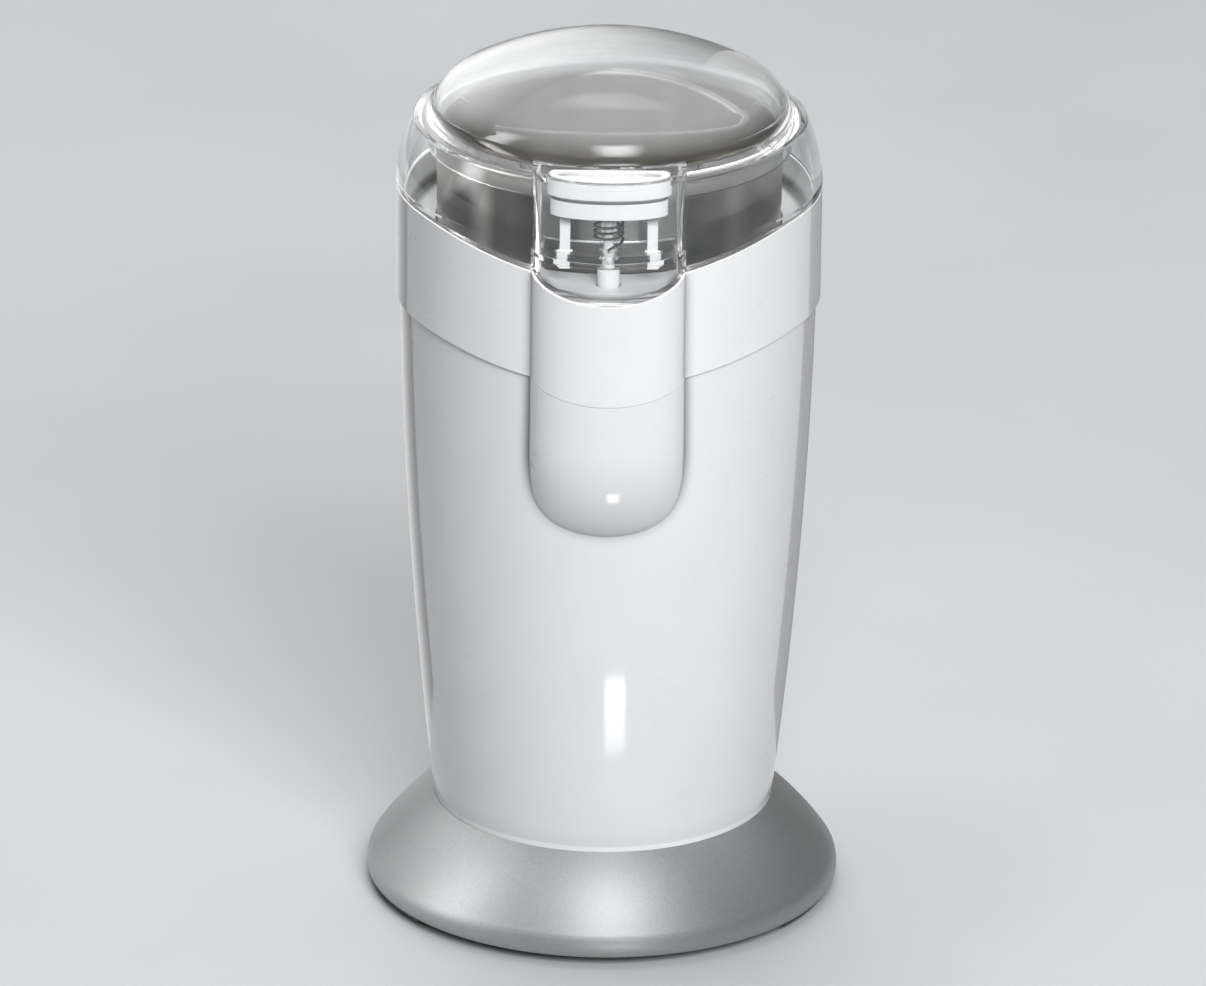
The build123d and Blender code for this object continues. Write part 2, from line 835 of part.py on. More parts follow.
with BuildPart() as body_housing:
    add(upright(0, seam_z, collar_low_z))
    add(finger(column_half_width, column_depth))
    add(column(column_half_width, column_depth, finger_top_z, collar_low_z))
    add(upright(housing_wall, seam_z, collar_low_z), mode=Mode.SUBTRACT)
    add(finger(column_inner_half_width, column_inner_depth), mode=Mode.SUBTRACT)
    add(column(column_inner_half_width, column_inner_depth, finger_top_z, collar_low_z), mode=Mode.SUBTRACT)
    add(beyond_edge(collar_low_z - seam_gap, collar_low_dip_radius, dome_top_z), mode=Mode.SUBTRACT)
    with BuildSketch(Plane.XY.offset(ledge_z)):
        Circle(radius_on_arc(side, ledge_z) - housing_wall / 2)
        Circle(ledge_inner_radius, mode=Mode.SUBTRACT)
        with Locations((0, column_y)):
            Rectangle(2 * ledge_notch_half_width, 2 * column_depth, mode=Mode.SUBTRACT)
    extrude(amount=ledge_thickness)
    with BuildSketch(Plane.XY.offset(carrier_low_z)):
        with PolarLocations(carrier_screw_circle, carrier_screw_count, start_angle=90):
            Circle(ledge_boss_radius)
        Circle(radius_on_arc(side, carrier_low_z - ledge_boss_depth) - housing_wall / 2, mode=Mode.INTERSECT)
    extrude(amount=-ledge_boss_depth)
    with BuildSketch(Plane.XY.offset(carrier_low_z)):
        with PolarLocations(carrier_screw_circle, carrier_screw_count, start_angle=90):
            Circle(carrier_screw_radius)
    extrude(amount=-ledge_boss_depth, mode=Mode.SUBTRACT)
body_housing.part.label = "body_housing"
export_step(body_housing.part, "parts/body_housing.step")

# Collar

collar_spigot_radius = radius_on_arc(side, collar_spigot_low_z) - housing_wall - collar_spigot_clearance
collar_spigot_bore = collar_spigot_radius - collar_spigot_wall

with BuildPart() as collar:
    add(ring(collar_radius - collar_wall, collar_radius, collar_spigot_low_z, collar_high_z))
    add(column(column_half_width, column_depth, collar_spigot_low_z - column_depth, collar_high_z))
    add(disc(collar_radius - collar_wall, collar_spigot_low_z - column_depth, collar_high_z),
        mode=Mode.SUBTRACT)
    add(beyond_edge(collar_high_z, collar_high_dip_radius, dome_top_z), mode=Mode.SUBTRACT)
    add(beyond_edge(collar_low_z, collar_low_dip_radius, 0), mode=Mode.SUBTRACT)
    add(ring(collar_spigot_bore, collar_spigot_radius, collar_spigot_low_z, collar_spigot_high_z))
    add(ring(collar_spigot_bore, collar_radius - collar_wall / 2,
             collar_spigot_high_z - collar_web_thickness, collar_spigot_high_z))
    add(column(column_inner_half_width, column_inner_depth, 0, dome_top_z), mode=Mode.SUBTRACT)
    add(column(column_half_width - column_wall / 2, column_depth - column_wall / 2,
               platform_low_z, platform_low_z + platform_floor))
    add(ring(bowl_bore_radius, collar_radius - collar_wall / 2, deck_low_z, deck_z))
    add(column(platform_half_width, platform_depth, platform_low_z, deck_z))
    add(disc(guide_radius, guide_low_z, deck_low_z, 0, plunger_y))
    add(disc(pin_radius + plunger_clearance, guide_low_z, deck_z, 0, plunger_y), mode=Mode.SUBTRACT)
    add(disc(bowl_bore_radius, guide_low_z, collar_high_z), mode=Mode.SUBTRACT)
collar.part.label = "collar"
export_step(collar.part, "parts/collar.step")

# Grinding bowl and what carries it

bowl_corner_foot = bowl_radius - bowl_corner_radius

with BuildPart() as grinding_bowl:
    with BuildSketch(Plane.XZ):
        with BuildLine():
            floor_low = Line((bowl_hole_radius, bowl_floor_z), (bowl_corner_foot, bowl_floor_z))
            corner_low = TangentArc(floor_low @ 1, (bowl_radius, bowl_floor_z + bowl_corner_radius),
                                    tangent=floor_low % 1)
            wall_out = Line(corner_low @ 1, (bowl_radius, bowl_rim_z))
            rim_top = Line(wall_out @ 1, (bowl_radius - bowl_wall, bowl_rim_z))
            wall_in = Line(rim_top @ 1, (bowl_radius - bowl_wall, bowl_floor_z + bowl_corner_radius))
            corner_high = TangentArc(wall_in @ 1, (bowl_corner_foot, bowl_floor_z + bowl_wall),
                                     tangent=wall_in % 1)
            floor_high = Line(corner_high @ 1, (bowl_hole_radius, bowl_floor_z + bowl_wall))
            Line(floor_high @ 1, floor_low @ 0)
        make_face()
    revolve(axis=Axis.Z)
    with BuildSketch(Plane.XZ):
        with Locations((bowl_radius - bowl_wall / 2, bowl_rim_z)):
            Circle(bowl_rim_radius)
    revolve(axis=Axis.Z)
grinding_bowl.part.label = "grinding_bowl"
export_step(grinding_bowl.part, "parts/grinding_bowl.step")

bolt_places = [(sx * bolt_x, sy * bolt_y) for sx in (-1, 1) for sy in (-1, 1)]

bracket_screw_places = [(facing * bracket_screw_spacing / 2, bracket_screw_y) for facing in (-1, 1)]

with BuildPart() as bowl_carrier:
    add(disc(carrier_radius, carrier_low_z, carrier_top_z))
    add(ring(carrier_rib_radius, carrier_rib_radius + carrier_rib_width, carrier_low_z, bowl_floor_z))
    add(disc(carrier_hub_radius, carrier_low_z, bowl_floor_z))
    add(disc(bearing_radius + hub_wall + carrier_clearance, carrier_low_z,
             upper_bearing_z + bearing_length + carrier_clearance), mode=Mode.SUBTRACT)
    add(disc(bowl_hole_radius, carrier_low_z, bowl_floor_z), mode=Mode.SUBTRACT)
    add(disc(seal_radius, bowl_floor_z - seal_thickness, bowl_floor_z), mode=Mode.SUBTRACT)
    with BuildSketch(Plane.XY.offset(carrier_low_z)):
        with Locations((0, carrier_notch_y)):
            Rectangle(2 * carrier_notch_half_width, 2 * column_depth, align=(Align.CENTER, Align.MAX))
        with Locations(*bolt_places):
            Circle(bolt_radius)
        with PolarLocations(carrier_screw_circle, carrier_screw_count, start_angle=90):
            Circle(carrier_screw_radius)
        with Locations(*bracket_screw_places):
            Circle(switch_screw_radius)
    extrude(amount=carrier_thickness, mode=Mode.SUBTRACT)
bowl_carrier.part.label = "bowl_carrier"
export_step(bowl_carrier.part, "parts/bowl_carrier.step")

with BuildPart() as carrier_screws:
    with BuildSketch(Plane.XY.offset(carrier_top_z)):
        with PolarLocations(carrier_screw_circle, carrier_screw_count, start_angle=90):
            Circle(carrier_screw_head_radius)
    extrude(amount=carrier_screw_head_height)
    with BuildSketch(Plane.XY.offset(carrier_low_z - ledge_boss_depth)):
        with PolarLocations(carrier_screw_circle, carrier_screw_count, start_angle=90):
            Circle(carrier_screw_radius)
    extrude(amount=carrier_thickness + ledge_boss_depth)
carrier_screws.part.label = "carrier_screws"
export_step(carrier_screws.part, "parts/carrier_screws.step")

with BuildPart() as shaft_seal:
    add(ring(shaft_radius + running_clearance, seal_radius, bowl_floor_z - seal_thickness, bowl_floor_z))
    add(ring(shaft_radius + running_clearance, bowl_hole_radius, bowl_floor_z,
             bowl_floor_z + bowl_wall + seal_lip))
shaft_seal.part.label = "shaft_seal"
export_step(shaft_seal.part, "parts/shaft_seal.step")

# Motor brackets and bearings


def plate(low, high):
    """A rounded motor plate with round vents."""
    with BuildPart() as part:
        with BuildSketch(Plane.XY.offset(low)):
            RectangleRounded(stack_width, stack_depth, stack_corner_radius)
            with PolarLocations(bracket_vent_circle, bracket_vent_count, start_angle=bracket_vent_turn):
                Circle(bracket_vent_radius, mode=Mode.SUBTRACT)
        extrude(amount=high - low)
    return part.part


def bearing(low):
    """A plain bearing bush."""
    return ring(shaft_radius + running_clearance, bearing_radius, low, low + bearing_length)


lower_plate_top_z = lower_plate_z + bracket_thickness
holder_low_z = brush_z - brush_height / 2 - holder_clearance - holder_wall
holder_half_width = brush_width / 2 + holder_clearance + holder_wall

with BuildPart() as lower_bracket:
    add(plate(lower_plate_z, lower_plate_top_z))
    add(disc(bearing_radius + hub_wall, lower_bearing_z, lower_bearing_z + bearing_length + bearing_shoulder))
    for x, y in bolt_places:
        add(disc(bracket_post_radius, lower_plate_z, stack_low_z, x, y))
    for facing in (-1, 1):
        with BuildSketch(Plane.XY.offset(lower_plate_z)):
            with Locations((facing * (holder_start + stack_width / 2) / 2, 0)):
                Rectangle(stack_width / 2 - holder_start, 2 * holder_half_width)
        extrude(amount=holder_low_z - lower_plate_z)
    for x, y in bolt_places:
        add(disc(bolt_radius + bolt_clearance, lower_plate_z, stack_low_z, x, y), mode=Mode.SUBTRACT)
    add(disc(bearing_radius, lower_bearing_z, lower_bearing_z + bearing_length), mode=Mode.SUBTRACT)
    add(disc(shoulder_bore_radius, lower_bearing_z, stack_low_z), mode=Mode.SUBTRACT)
lower_bracket.part.label = "lower_bracket"
export_step(lower_bracket.part, "parts/lower_bracket.step")

with BuildPart() as upper_bracket:
    add(plate(upper_plate_z, upper_plate_top_z))
    add(disc(bearing_radius + hub_wall, upper_bearing_z - bearing_shoulder, upper_bearing_z + bearing_length))
    for x, y in bolt_places:
        add(disc(bracket_post_radius, stack_top_z, upper_plate_top_z, x, y))
    for x, y in bolt_places:
        add(disc(bolt_radius + bolt_clearance, stack_top_z, upper_plate_top_z, x, y), mode=Mode.SUBTRACT)
    add(disc(bearing_radius, upper_bearing_z, upper_bearing_z + bearing_length), mode=Mode.SUBTRACT)
    add(disc(shoulder_bore_radius, stack_top_z, upper_bearing_z), mode=Mode.SUBTRACT)
upper_bracket.part.label = "upper_bracket"
export_step(upper_bracket.part, "parts/upper_bracket.step")

with BuildPart() as lower_bearing:
    add(bearing(lower_bearing_z))
lower_bearing.part.label = "lower_bearing"
export_step(lower_bearing.part, "parts/lower_bearing.step")

with BuildPart() as upper_bearing:
    add(bearing(upper_bearing_z))
upper_bearing.part.label = "upper_bearing"
export_step(upper_bearing.part, "parts/upper_bearing.step")

with BuildPart() as motor_cushions:
    for x, y in bolt_places:
        add(disc(cushion_radius, upper_plate_top_z, carrier_low_z, x, y))
        add(disc(bolt_radius + bolt_clearance, upper_plate_top_z, carrier_low_z, x, y), mode=Mode.SUBTRACT)
motor_cushions.part.label = "motor_cushions"
export_step(motor_cushions.part, "parts/motor_cushions.step")

with BuildPart() as motor_bolts:
    for x, y in bolt_places:
        add(disc(bolt_radius, lower_plate_z, carrier_top_z, x, y))
        add(disc(bolt_head_radius, lower_plate_z - bolt_head_height, lower_plate_z, x, y))
motor_bolts.part.label = "motor_bolts"
export_step(motor_bolts.part, "parts/motor_bolts.step")

# Stator

window_length = window_reach - pole_half_width
window_places = [(sx * (pole_half_width + window_width / 2), sy * (pole_half_width + window_length / 2))
                 for sx in (-1, 1) for sy in (-1, 1)]
coil_half_width = pole_half_width + window_width - coil_clearance
coil_inner_y = bore_radius - coil_clearance
coil_outer_y = window_reach - coil_clearance
coil_middle_z = stack_low_z + stack_height / 2

with BuildPart() as stator_core:
    with BuildSketch(Plane.XY.offset(stack_low_z)):
        RectangleRounded(stack_width, stack_depth, stack_corner_radius)
        Circle(bore_radius, mode=Mode.SUBTRACT)
        with Locations(*window_places):
            Rectangle(window_width, window_length, mode=Mode.SUBTRACT)
        with Locations(*bolt_places):
            Circle(bolt_radius + bolt_clearance, mode=Mode.SUBTRACT)
    extrude(amount=stack_height)
stator_core.part.label = "stator_core"
export_step(stator_core.part, "parts/stator_core.step")

with BuildPart() as field_coils:
    for facing in (-1, 1):
        with BuildSketch(Plane.XZ.offset(facing * coil_inner_y)):
            with Locations((0, coil_middle_z)):
                RectangleRounded(2 * coil_half_width, stack_height + 2 * coil_overhang, coil_round)
                RectangleRounded(2 * (pole_half_width + coil_clearance), stack_height + 2 * coil_clearance,
                                 coil_inner_round, mode=Mode.SUBTRACT)
        extrude(amount=facing * (coil_outer_y - coil_inner_y))
field_coils.part.label = "field_coils"
export_step(field_coils.part, "parts/field_coils.step")

# Rotor

with BuildPart() as rotor_shaft:
    add(disc(shaft_radius, shaft_low_z, shaft_shoulder_z))
    add(disc(thread_radius, shaft_shoulder_z, shaft_top_z))
    chamfer(rotor_shaft.edges().group_by(Axis.Z)[-1], length=shaft_end_chamfer)
rotor_shaft.part.label = "rotor_shaft"
export_step(rotor_shaft.part, "parts/rotor_shaft.step")

with BuildPart() as armature_core:
    with BuildSketch(Plane.XY.offset(stack_low_z)):
        Circle(armature_radius)
        Circle(shaft_radius, mode=Mode.SUBTRACT)
        with PolarLocations(armature_radius - armature_slot_depth / 2, armature_slot_count):
            SlotOverall(armature_slot_depth, armature_slot_width, mode=Mode.SUBTRACT)
        with PolarLocations(armature_radius, armature_slot_count):
            Rectangle(armature_slot_width, armature_slot_width / 2, mode=Mode.SUBTRACT)
    extrude(amount=stack_height)
armature_core.part.label = "armature_core"
export_step(armature_core.part, "parts/armature_core.step")

with BuildPart() as armature_winding:
    for low in (stack_low_z - crown_length, stack_top_z):
        add(ring(shaft_radius, crown_radius, low, low + crown_length))
    fillet(armature_winding.edges().filter_by(GeomType.CIRCLE).group_by(SortBy.LENGTH)[-1],
           radius=crown_round)
armature_winding.part.label = "armature_winding"
export_step(armature_winding.part, "parts/armature_winding.step")

commutator_top_z = commutator_low_z + commutator_length

with BuildPart() as commutator:
    add(ring(shaft_radius, commutator_radius, commutator_low_z, commutator_top_z))
    add(ring(shaft_radius, riser_radius, commutator_top_z - riser_length, commutator_top_z))
    with BuildSketch(Plane.XY.offset(commutator_low_z)):
        with PolarLocations(commutator_radius, armature_slot_count):
            Rectangle(commutator_slot_width, commutator_slot_width)
    extrude(amount=commutator_length, mode=Mode.SUBTRACT)
commutator.part.label = "commutator"
export_step(commutator.part, "parts/commutator.step")

with BuildPart() as cooling_fan:
    add(ring(shaft_radius, fan_radius, fan_low_z, fan_low_z + fan_disc_thickness))
    add(ring(shaft_radius, fan_hub_radius, fan_low_z, fan_low_z + fan_blade_height + fan_disc_thickness))
    with BuildSketch(Plane.XY.offset(fan_low_z)):
        with PolarLocations((fan_hub_radius + fan_radius + fan_blade_inset) / 2, fan_blade_count):
            Rectangle(fan_radius - fan_hub_radius - fan_blade_inset, fan_blade_thickness)
    extrude(amount=fan_blade_height + fan_disc_thickness)
cooling_fan.part.label = "cooling_fan"
export_step(cooling_fan.part, "parts/cooling_fan.step")

with BuildPart() as blade_spacer:
    add(ring(shaft_radius, spacer_radius, shaft_shoulder_z - spacer_height, shaft_shoulder_z))
blade_spacer.part.label = "blade_spacer"
export_step(blade_spacer.part, "parts/blade_spacer.step")

with BuildPart() as cutting_blade:
    with BuildSketch(Plane.XY.offset(shaft_shoulder_z)):
        SlotOverall(blade_centre_length, blade_width)
    extrude(amount=blade_thickness)
    for facing in (-1, 1):
        lean = radians(facing * blade_pitch)
        wing_plane = Plane(origin=(0, 0, shaft_shoulder_z), x_dir=(facing, 0, 0),
                           z_dir=(0, sin(lean), cos(lean)))
        with BuildSketch(wing_plane):
            with Locations((spacer_radius, 0)):
                Rectangle(blade_reach - wing_width / 2 - spacer_radius, wing_width,
                          align=(Align.MIN, Align.CENTER))
            with Locations((blade_reach - wing_width / 2, 0)):
                Circle(wing_width / 2)
        extrude(amount=blade_thickness)
    add(disc(thread_radius, shaft_shoulder_z - blade_width, shaft_top_z), mode=Mode.SUBTRACT)
    add(disc(spacer_radius, shaft_low_z, shaft_shoulder_z), mode=Mode.SUBTRACT)
    add(ring(thread_radius, spacer_radius, shaft_shoulder_z + blade_thickness, shaft_top_z),
        mode=Mode.SUBTRACT)
cutting_blade.part.label = "cutting_blade"
export_step(cutting_blade.part, "parts/cutting_blade.step")

blade_top_z = shaft_shoulder_z + blade_thickness

with BuildPart() as blade_nut:
    with BuildSketch(Plane.XY.offset(blade_top_z)):
        RegularPolygon(nut_flats / 2, 6, major_radius=False)
        Circle(thread_radius, mode=Mode.SUBTRACT)
    extrude(amount=nut_height)
blade_nut.part.label = "blade_nut"
export_step(blade_nut.part, "parts/blade_nut.step")

# Brushes

brush_start = commutator_radius + brush_gap
brush_end = brush_start + brush_length
holder_bore_end = holder_end - holder_wall


def along_x(facing, width, height, start, end):
    """A bar along X at the height of the brushes, on one side of the rotor."""
    with BuildPart() as part:
        with BuildSketch(Plane.YZ.offset(facing * start)):
            with Locations((0, brush_z)):
                Rectangle(width, height)
        extrude(amount=facing * (end - start))
    return part.part


with BuildPart() as brush_holders:
    for facing in (-1, 1):
        add(along_x(facing, 2 * holder_half_width, 2 * (brush_z - holder_low_z), holder_start, holder_end))
        add(along_x(facing, brush_width + 2 * holder_clearance, brush_height + 2 * holder_clearance,
                    holder_start, holder_bore_end), mode=Mode.SUBTRACT)
brush_holders.part.label = "brush_holders"
export_step(brush_holders.part, "parts/brush_holders.step")

with BuildPart() as carbon_brushes:
    for facing in (-1, 1):
        add(along_x(facing, brush_width, brush_height, 0, brush_end))
    add(disc(brush_start, commutator_low_z, commutator_top_z), mode=Mode.SUBTRACT)
carbon_brushes.part.label = "carbon_brushes"
export_step(carbon_brushes.part, "parts/carbon_brushes.step")

brush_coil = coil((0, 0), brush_end, holder_bore_end, brush_spring_radius, brush_spring_wire,
                  brush_spring_turns)

with BuildPart() as brush_springs:
    with Locations((0, 0, brush_z)):
        add(brush_coil, rotation=(0, 90, 0))
        add(brush_coil, rotation=(0, -90, 0))
brush_springs.part.label = "brush_springs"
export_step(brush_springs.part, "parts/brush_springs.step")

# Suppression capacitor

with BuildPart() as suppressor_capacitor:
    with BuildSketch(Plane.XY.offset(capacitor_z)):
        with Locations((0, (stack_depth + capacitor_depth) / 2 + capacitor_gap)):
            RectangleRounded(capacitor_width, capacitor_depth, capacitor_round)
    extrude(amount=capacitor_height)
suppressor_capacitor.part.label = "suppressor_capacitor"
export_step(suppressor_capacitor.part, "parts/suppressor_capacitor.step")

# Switch, its bracket and its lever

switch_screw_z = switch_low_z + switch_screw_height
switch_screw_places = [(facing * switch_screw_spacing / 2, switch_screw_z) for facing in (-1, 1)]
switch_front_y = switch_face_y - switch_thickness
bracket_back_y = switch_face_y + bracket_plate_thickness

with BuildPart() as switch_bracket:
    with BuildSketch(Plane.XZ.offset(-switch_face_y)):
        with Locations((0, bracket_low_z)):
            Rectangle(2 * bracket_half_width, spring_seat_z - bracket_low_z, align=(Align.CENTER, Align.MIN))
        with Locations(*switch_screw_places):
            Circle(switch_screw_radius, mode=Mode.SUBTRACT)
    extrude(amount=-bracket_plate_thickness)
    with BuildSketch(Plane.XY.offset(spring_seat_z)):
        with Locations((0, switch_face_y)):
            Rectangle(2 * spring_seat_half_width, spring_seat_depth, align=(Align.CENTER, Align.MAX))
        with Locations((0, plunger_y)):
            Circle(plunger_stem_radius + plunger_clearance, mode=Mode.SUBTRACT)
    extrude(amount=-spring_seat_thickness)
    with BuildSketch(Plane.XY.offset(carrier_top_z)):
        with Locations((0, bracket_back_y)):
            Rectangle(2 * bracket_half_width, bracket_tab_depth, align=(Align.CENTER, Align.MIN))
        with Locations(*bracket_screw_places):
            Circle(switch_screw_radius, mode=Mode.SUBTRACT)
    extrude(amount=bracket_plate_thickness)
switch_bracket.part.label = "switch_bracket"
export_step(switch_bracket.part, "parts/switch_bracket.step")

tab_top_z = carrier_top_z + bracket_plate_thickness

with BuildPart() as bracket_screws:
    for x, y in bracket_screw_places:
        add(disc(switch_screw_radius, tab_top_z - bracket_screw_length, tab_top_z, x, y))
        add(disc(switch_screw_head_radius, tab_top_z, tab_top_z + switch_screw_head_height, x, y))
bracket_screws.part.label = "bracket_screws"
export_step(bracket_screws.part, "parts/bracket_screws.step")

with BuildPart() as microswitch:
    with BuildSketch(Plane.XZ.offset(-switch_face_y)):
        with Locations((0, switch_low_z)):
            Rectangle(switch_width, switch_height, align=(Align.CENTER, Align.MIN))
        with Locations((nub_x, switch_top_z)):
            Rectangle(nub_width, nub_height, align=(Align.CENTER, Align.MIN))
        with Locations((lever_pivot_x, switch_top_z)):
            Rectangle(ear_length, ear_height, align=(Align.CENTER, Align.MIN))
        with Locations(*switch_screw_places):
            Circle(switch_screw_radius, mode=Mode.SUBTRACT)
        with Locations((lever_pivot_x, lever_pivot_z)):
            Circle(trunnion_radius + trunnion_clearance, mode=Mode.SUBTRACT)
    extrude(amount=switch_thickness)
    with BuildSketch(Plane.XY.offset(switch_top_z)):
        with Locations((lever_pivot_x, lever_pivot_y)):
            Rectangle(ear_length, lever_width + 2 * ear_gap)
    extrude(amount=ear_height, mode=Mode.SUBTRACT)
    with BuildSketch(Plane.XY.offset(switch_low_z)):
        with Locations((-terminal_offset, lever_pivot_y), (terminal_offset, lever_pivot_y)):
            Rectangle(terminal_width, terminal_thickness)
    extrude(amount=-terminal_length)
microswitch.part.label = "microswitch"
export_step(microswitch.part, "parts/microswitch.step")

with BuildPart() as switch_screws:
    with BuildSketch(Plane.XZ.offset(-switch_front_y)):
        with Locations(*switch_screw_places):
            Circle(switch_screw_head_radius)
    extrude(amount=switch_screw_head_height)
    with BuildSketch(Plane.XZ.offset(-switch_front_y)):
        with Locations(*switch_screw_places):
            Circle(switch_screw_radius)
    extrude(amount=-switch_thickness - bracket_plate_thickness)
switch_screws.part.label = "switch_screws"
export_step(switch_screws.part, "parts/switch_screws.step")

lever_lean = radians(lever_rest_angle)
lever_plane = Plane(origin=(lever_pivot_x, lever_pivot_y, lever_pivot_z),
                    x_dir=(cos(lever_lean), 0, sin(lever_lean)), z_dir=(0, -1, 0))

with BuildPart() as switch_lever:
    with BuildSketch(lever_plane):
        Rectangle(lever_length, lever_thickness, align=(Align.MIN, Align.CENTER))
    extrude(amount=lever_width / 2, both=True)
    with BuildSketch(lever_plane):
        Circle(trunnion_radius)
    extrude(amount=switch_thickness / 2, both=True)
switch_lever.part.label = "switch_lever"
export_step(switch_lever.part, "parts/switch_lever.step")

# Leads from the switch to the field coils

terminal_low_z = switch_low_z - terminal_length

with BuildPart() as lead_wires:
    for facing in (-1, 1):
        start = Vector(facing * terminal_offset, lever_pivot_y, terminal_low_z)
        low = Vector(facing * terminal_offset, wire_y, stack_top_z - wire_bend)
        down = Vector(0, 0, -1)
        foot = Vector(facing * terminal_offset, wire_y, wire_low_z + wire_bend)
        turn = Vector(facing * terminal_offset, wire_y + wire_bend, wire_low_z)
        rise = Vector(facing * terminal_offset, -bore_radius - 2 * wire_bend, wire_low_z)
        end = Vector(facing * terminal_offset, -bore_radius - wire_bend, wire_low_z + wire_bend)
        with BuildLine() as lead:
            Line(start, start + down * wire_radius)
            biarc(start + down * wire_radius, down, low, down)
            Line(low, foot)
            TangentArc(foot, turn, tangent=down)
            Line(turn, rise)
            TangentArc(rise, end, tangent=(0, 1, 0))
        with BuildSketch(Plane(origin=start, z_dir=(0, 0, -1))):
            Circle(wire_radius)
        sweep(path=lead.wire())
lead_wires.part.label = "lead_wires"
export_step(lead_wires.part, "parts/lead_wires.step")

# Plunger and its spring

with BuildPart() as switch_plunger:
    add(disc(plunger_tip_radius, plunger_low_z, plunger_low_z + plunger_tip_length, 0, plunger_y))
    add(disc(plunger_stem_radius, plunger_low_z + plunger_tip_length, flange_top_z, 0, plunger_y))
    add(disc(flange_radius, flange_low_z, flange_top_z, 0, plunger_y))
    add(disc(pin_radius, flange_low_z, pin_top_z, 0, plunger_y))
    chamfer(switch_plunger.edges().group_by(Axis.Z)[-1], length=pin_edge)
switch_plunger.part.label = "switch_plunger"
export_step(switch_plunger.part, "parts/switch_plunger.step")

with BuildPart() as plunger_spring:
    add(coil((0, plunger_y), spring_seat_z, flange_low_z, spring_radius, spring_wire, plunger_spring_turns))
plunger_spring.part.label = "plunger_spring"
export_step(plunger_spring.part, "parts/plunger_spring.step")

# Lid

shoulder = [(lid_radius, shoulder_low_z), (shoulder_mid_radius, shoulder_mid_z),
            (shoulder_radius, shoulder_z)]
inner_shoulder = inset_arc(shoulder, lid_wall)
skirt_bore = skirt_radius - skirt_wall
knuckle_x = dome_radius - sqrt(knuckle_radius ** 2 - (dome_foot_z - knuckle_z) ** 2)
sag = knuckle_z - dome_top_z
crown_arc_radius = (knuckle_radius ** 2 - knuckle_x ** 2 - sag ** 2) / (2 * (sag + knuckle_radius))
crown_arc_z = dome_top_z - crown_arc_radius


def dome_points(inset):
    """Top, joint of the two arcs and foot of the dome, moved in by a wall."""
    share = (crown_arc_radius - inset) / (crown_arc_radius - knuckle_radius)
    joint = (knuckle_x * share, crown_arc_z + (knuckle_z - crown_arc_z) * share)
    reach = 1 - inset / knuckle_radius
    foot = (knuckle_x + (dome_radius - knuckle_x) * reach, knuckle_z + (dome_foot_z - knuckle_z) * reach)
    return (0, dome_top_z - inset), joint, foot


with BuildPart() as lid_outside:
    with BuildSketch(Plane.XZ) as lid_section:
        with BuildLine():
            top, joint, foot = dome_points(0)
            crown = TangentArc(top, joint, tangent=(1, 0))
            knuckle = TangentArc(crown @ 1, foot, tangent=crown % 1)
            round_edge = ThreePointArc(*shoulder)
            ledge = Line(round_edge @ 1, (ledge_radius, shoulder_z + ledge_rise))
            TangentArc(ledge @ 1, knuckle @ 1, tangent=ledge % 1)
            Polyline(round_edge @ 0, (lid_radius, tower_low_z), (0, tower_low_z), top)
        make_face()
        fillet(lid_section.vertices().sort_by_distance((shoulder_radius, shoulder_z))[0],
               radius=shoulder_round)
    revolve(axis=Axis.Z)

with BuildPart() as lid_inside:
    with BuildSketch(Plane.XZ):
        with BuildLine():
            top, joint, foot = dome_points(lid_wall)
            crown = TangentArc(top, joint, tangent=(1, 0))
            knuckle = TangentArc(crown @ 1, foot, tangent=crown % 1)
            Polyline(knuckle @ 1, (skirt_bore, shoulder_z), (skirt_bore, tower_low_z), (0, tower_low_z), top)
        make_face()
    revolve(axis=Axis.Z)
    with BuildSketch(Plane.XZ):
        with BuildLine():
            hollow = ThreePointArc(*inner_shoulder)
            Polyline(hollow @ 1, (skirt_radius, (hollow @ 1).Y), (skirt_radius, skirt_low_z),
                     (skirt_bore, skirt_low_z), (skirt_bore, tower_low_z),
                     (lid_radius - lid_wall, tower_low_z), hollow @ 0)
        make_face()
    revolve(axis=Axis.Z)

with BuildPart() as lid_shell:
    add(lid_outside.part)
    add(lid_inside.part, mode=Mode.SUBTRACT)
    add(tower(tower_half_width, tower_depth, tower_back_radius, tower_low_z, tower_top_z))
    add(tower(tower_inner_half_width, tower_inner_depth, tower_back_radius + tower_wall, tower_low_z,
              tower_top_z - tower_roof), mode=Mode.SUBTRACT)
    add(tower(tower_inner_half_width, tower_inner_depth, tower_back_radius + tower_wall,
              guide_floor_low_z - rib_height, guide_floor_low_z))
    add(tower(tower_inner_half_width - rib_width, tower_inner_depth - rib_width,
              tower_back_radius + tower_wall + rib_width, tower_low_z, guide_floor_low_z), mode=Mode.SUBTRACT)
    add(cap_plan(cap_gap, guide_floor_low_z, dome_top_z - guide_floor_low_z), mode=Mode.SUBTRACT)
    add(beyond_edge(collar_high_z + lid_gap, collar_high_dip_radius, 0), mode=Mode.SUBTRACT)
lid_shell.part.label = "lid_shell"
export_step(lid_shell.part, "parts/lid_shell.step")

# Clear floor under the button

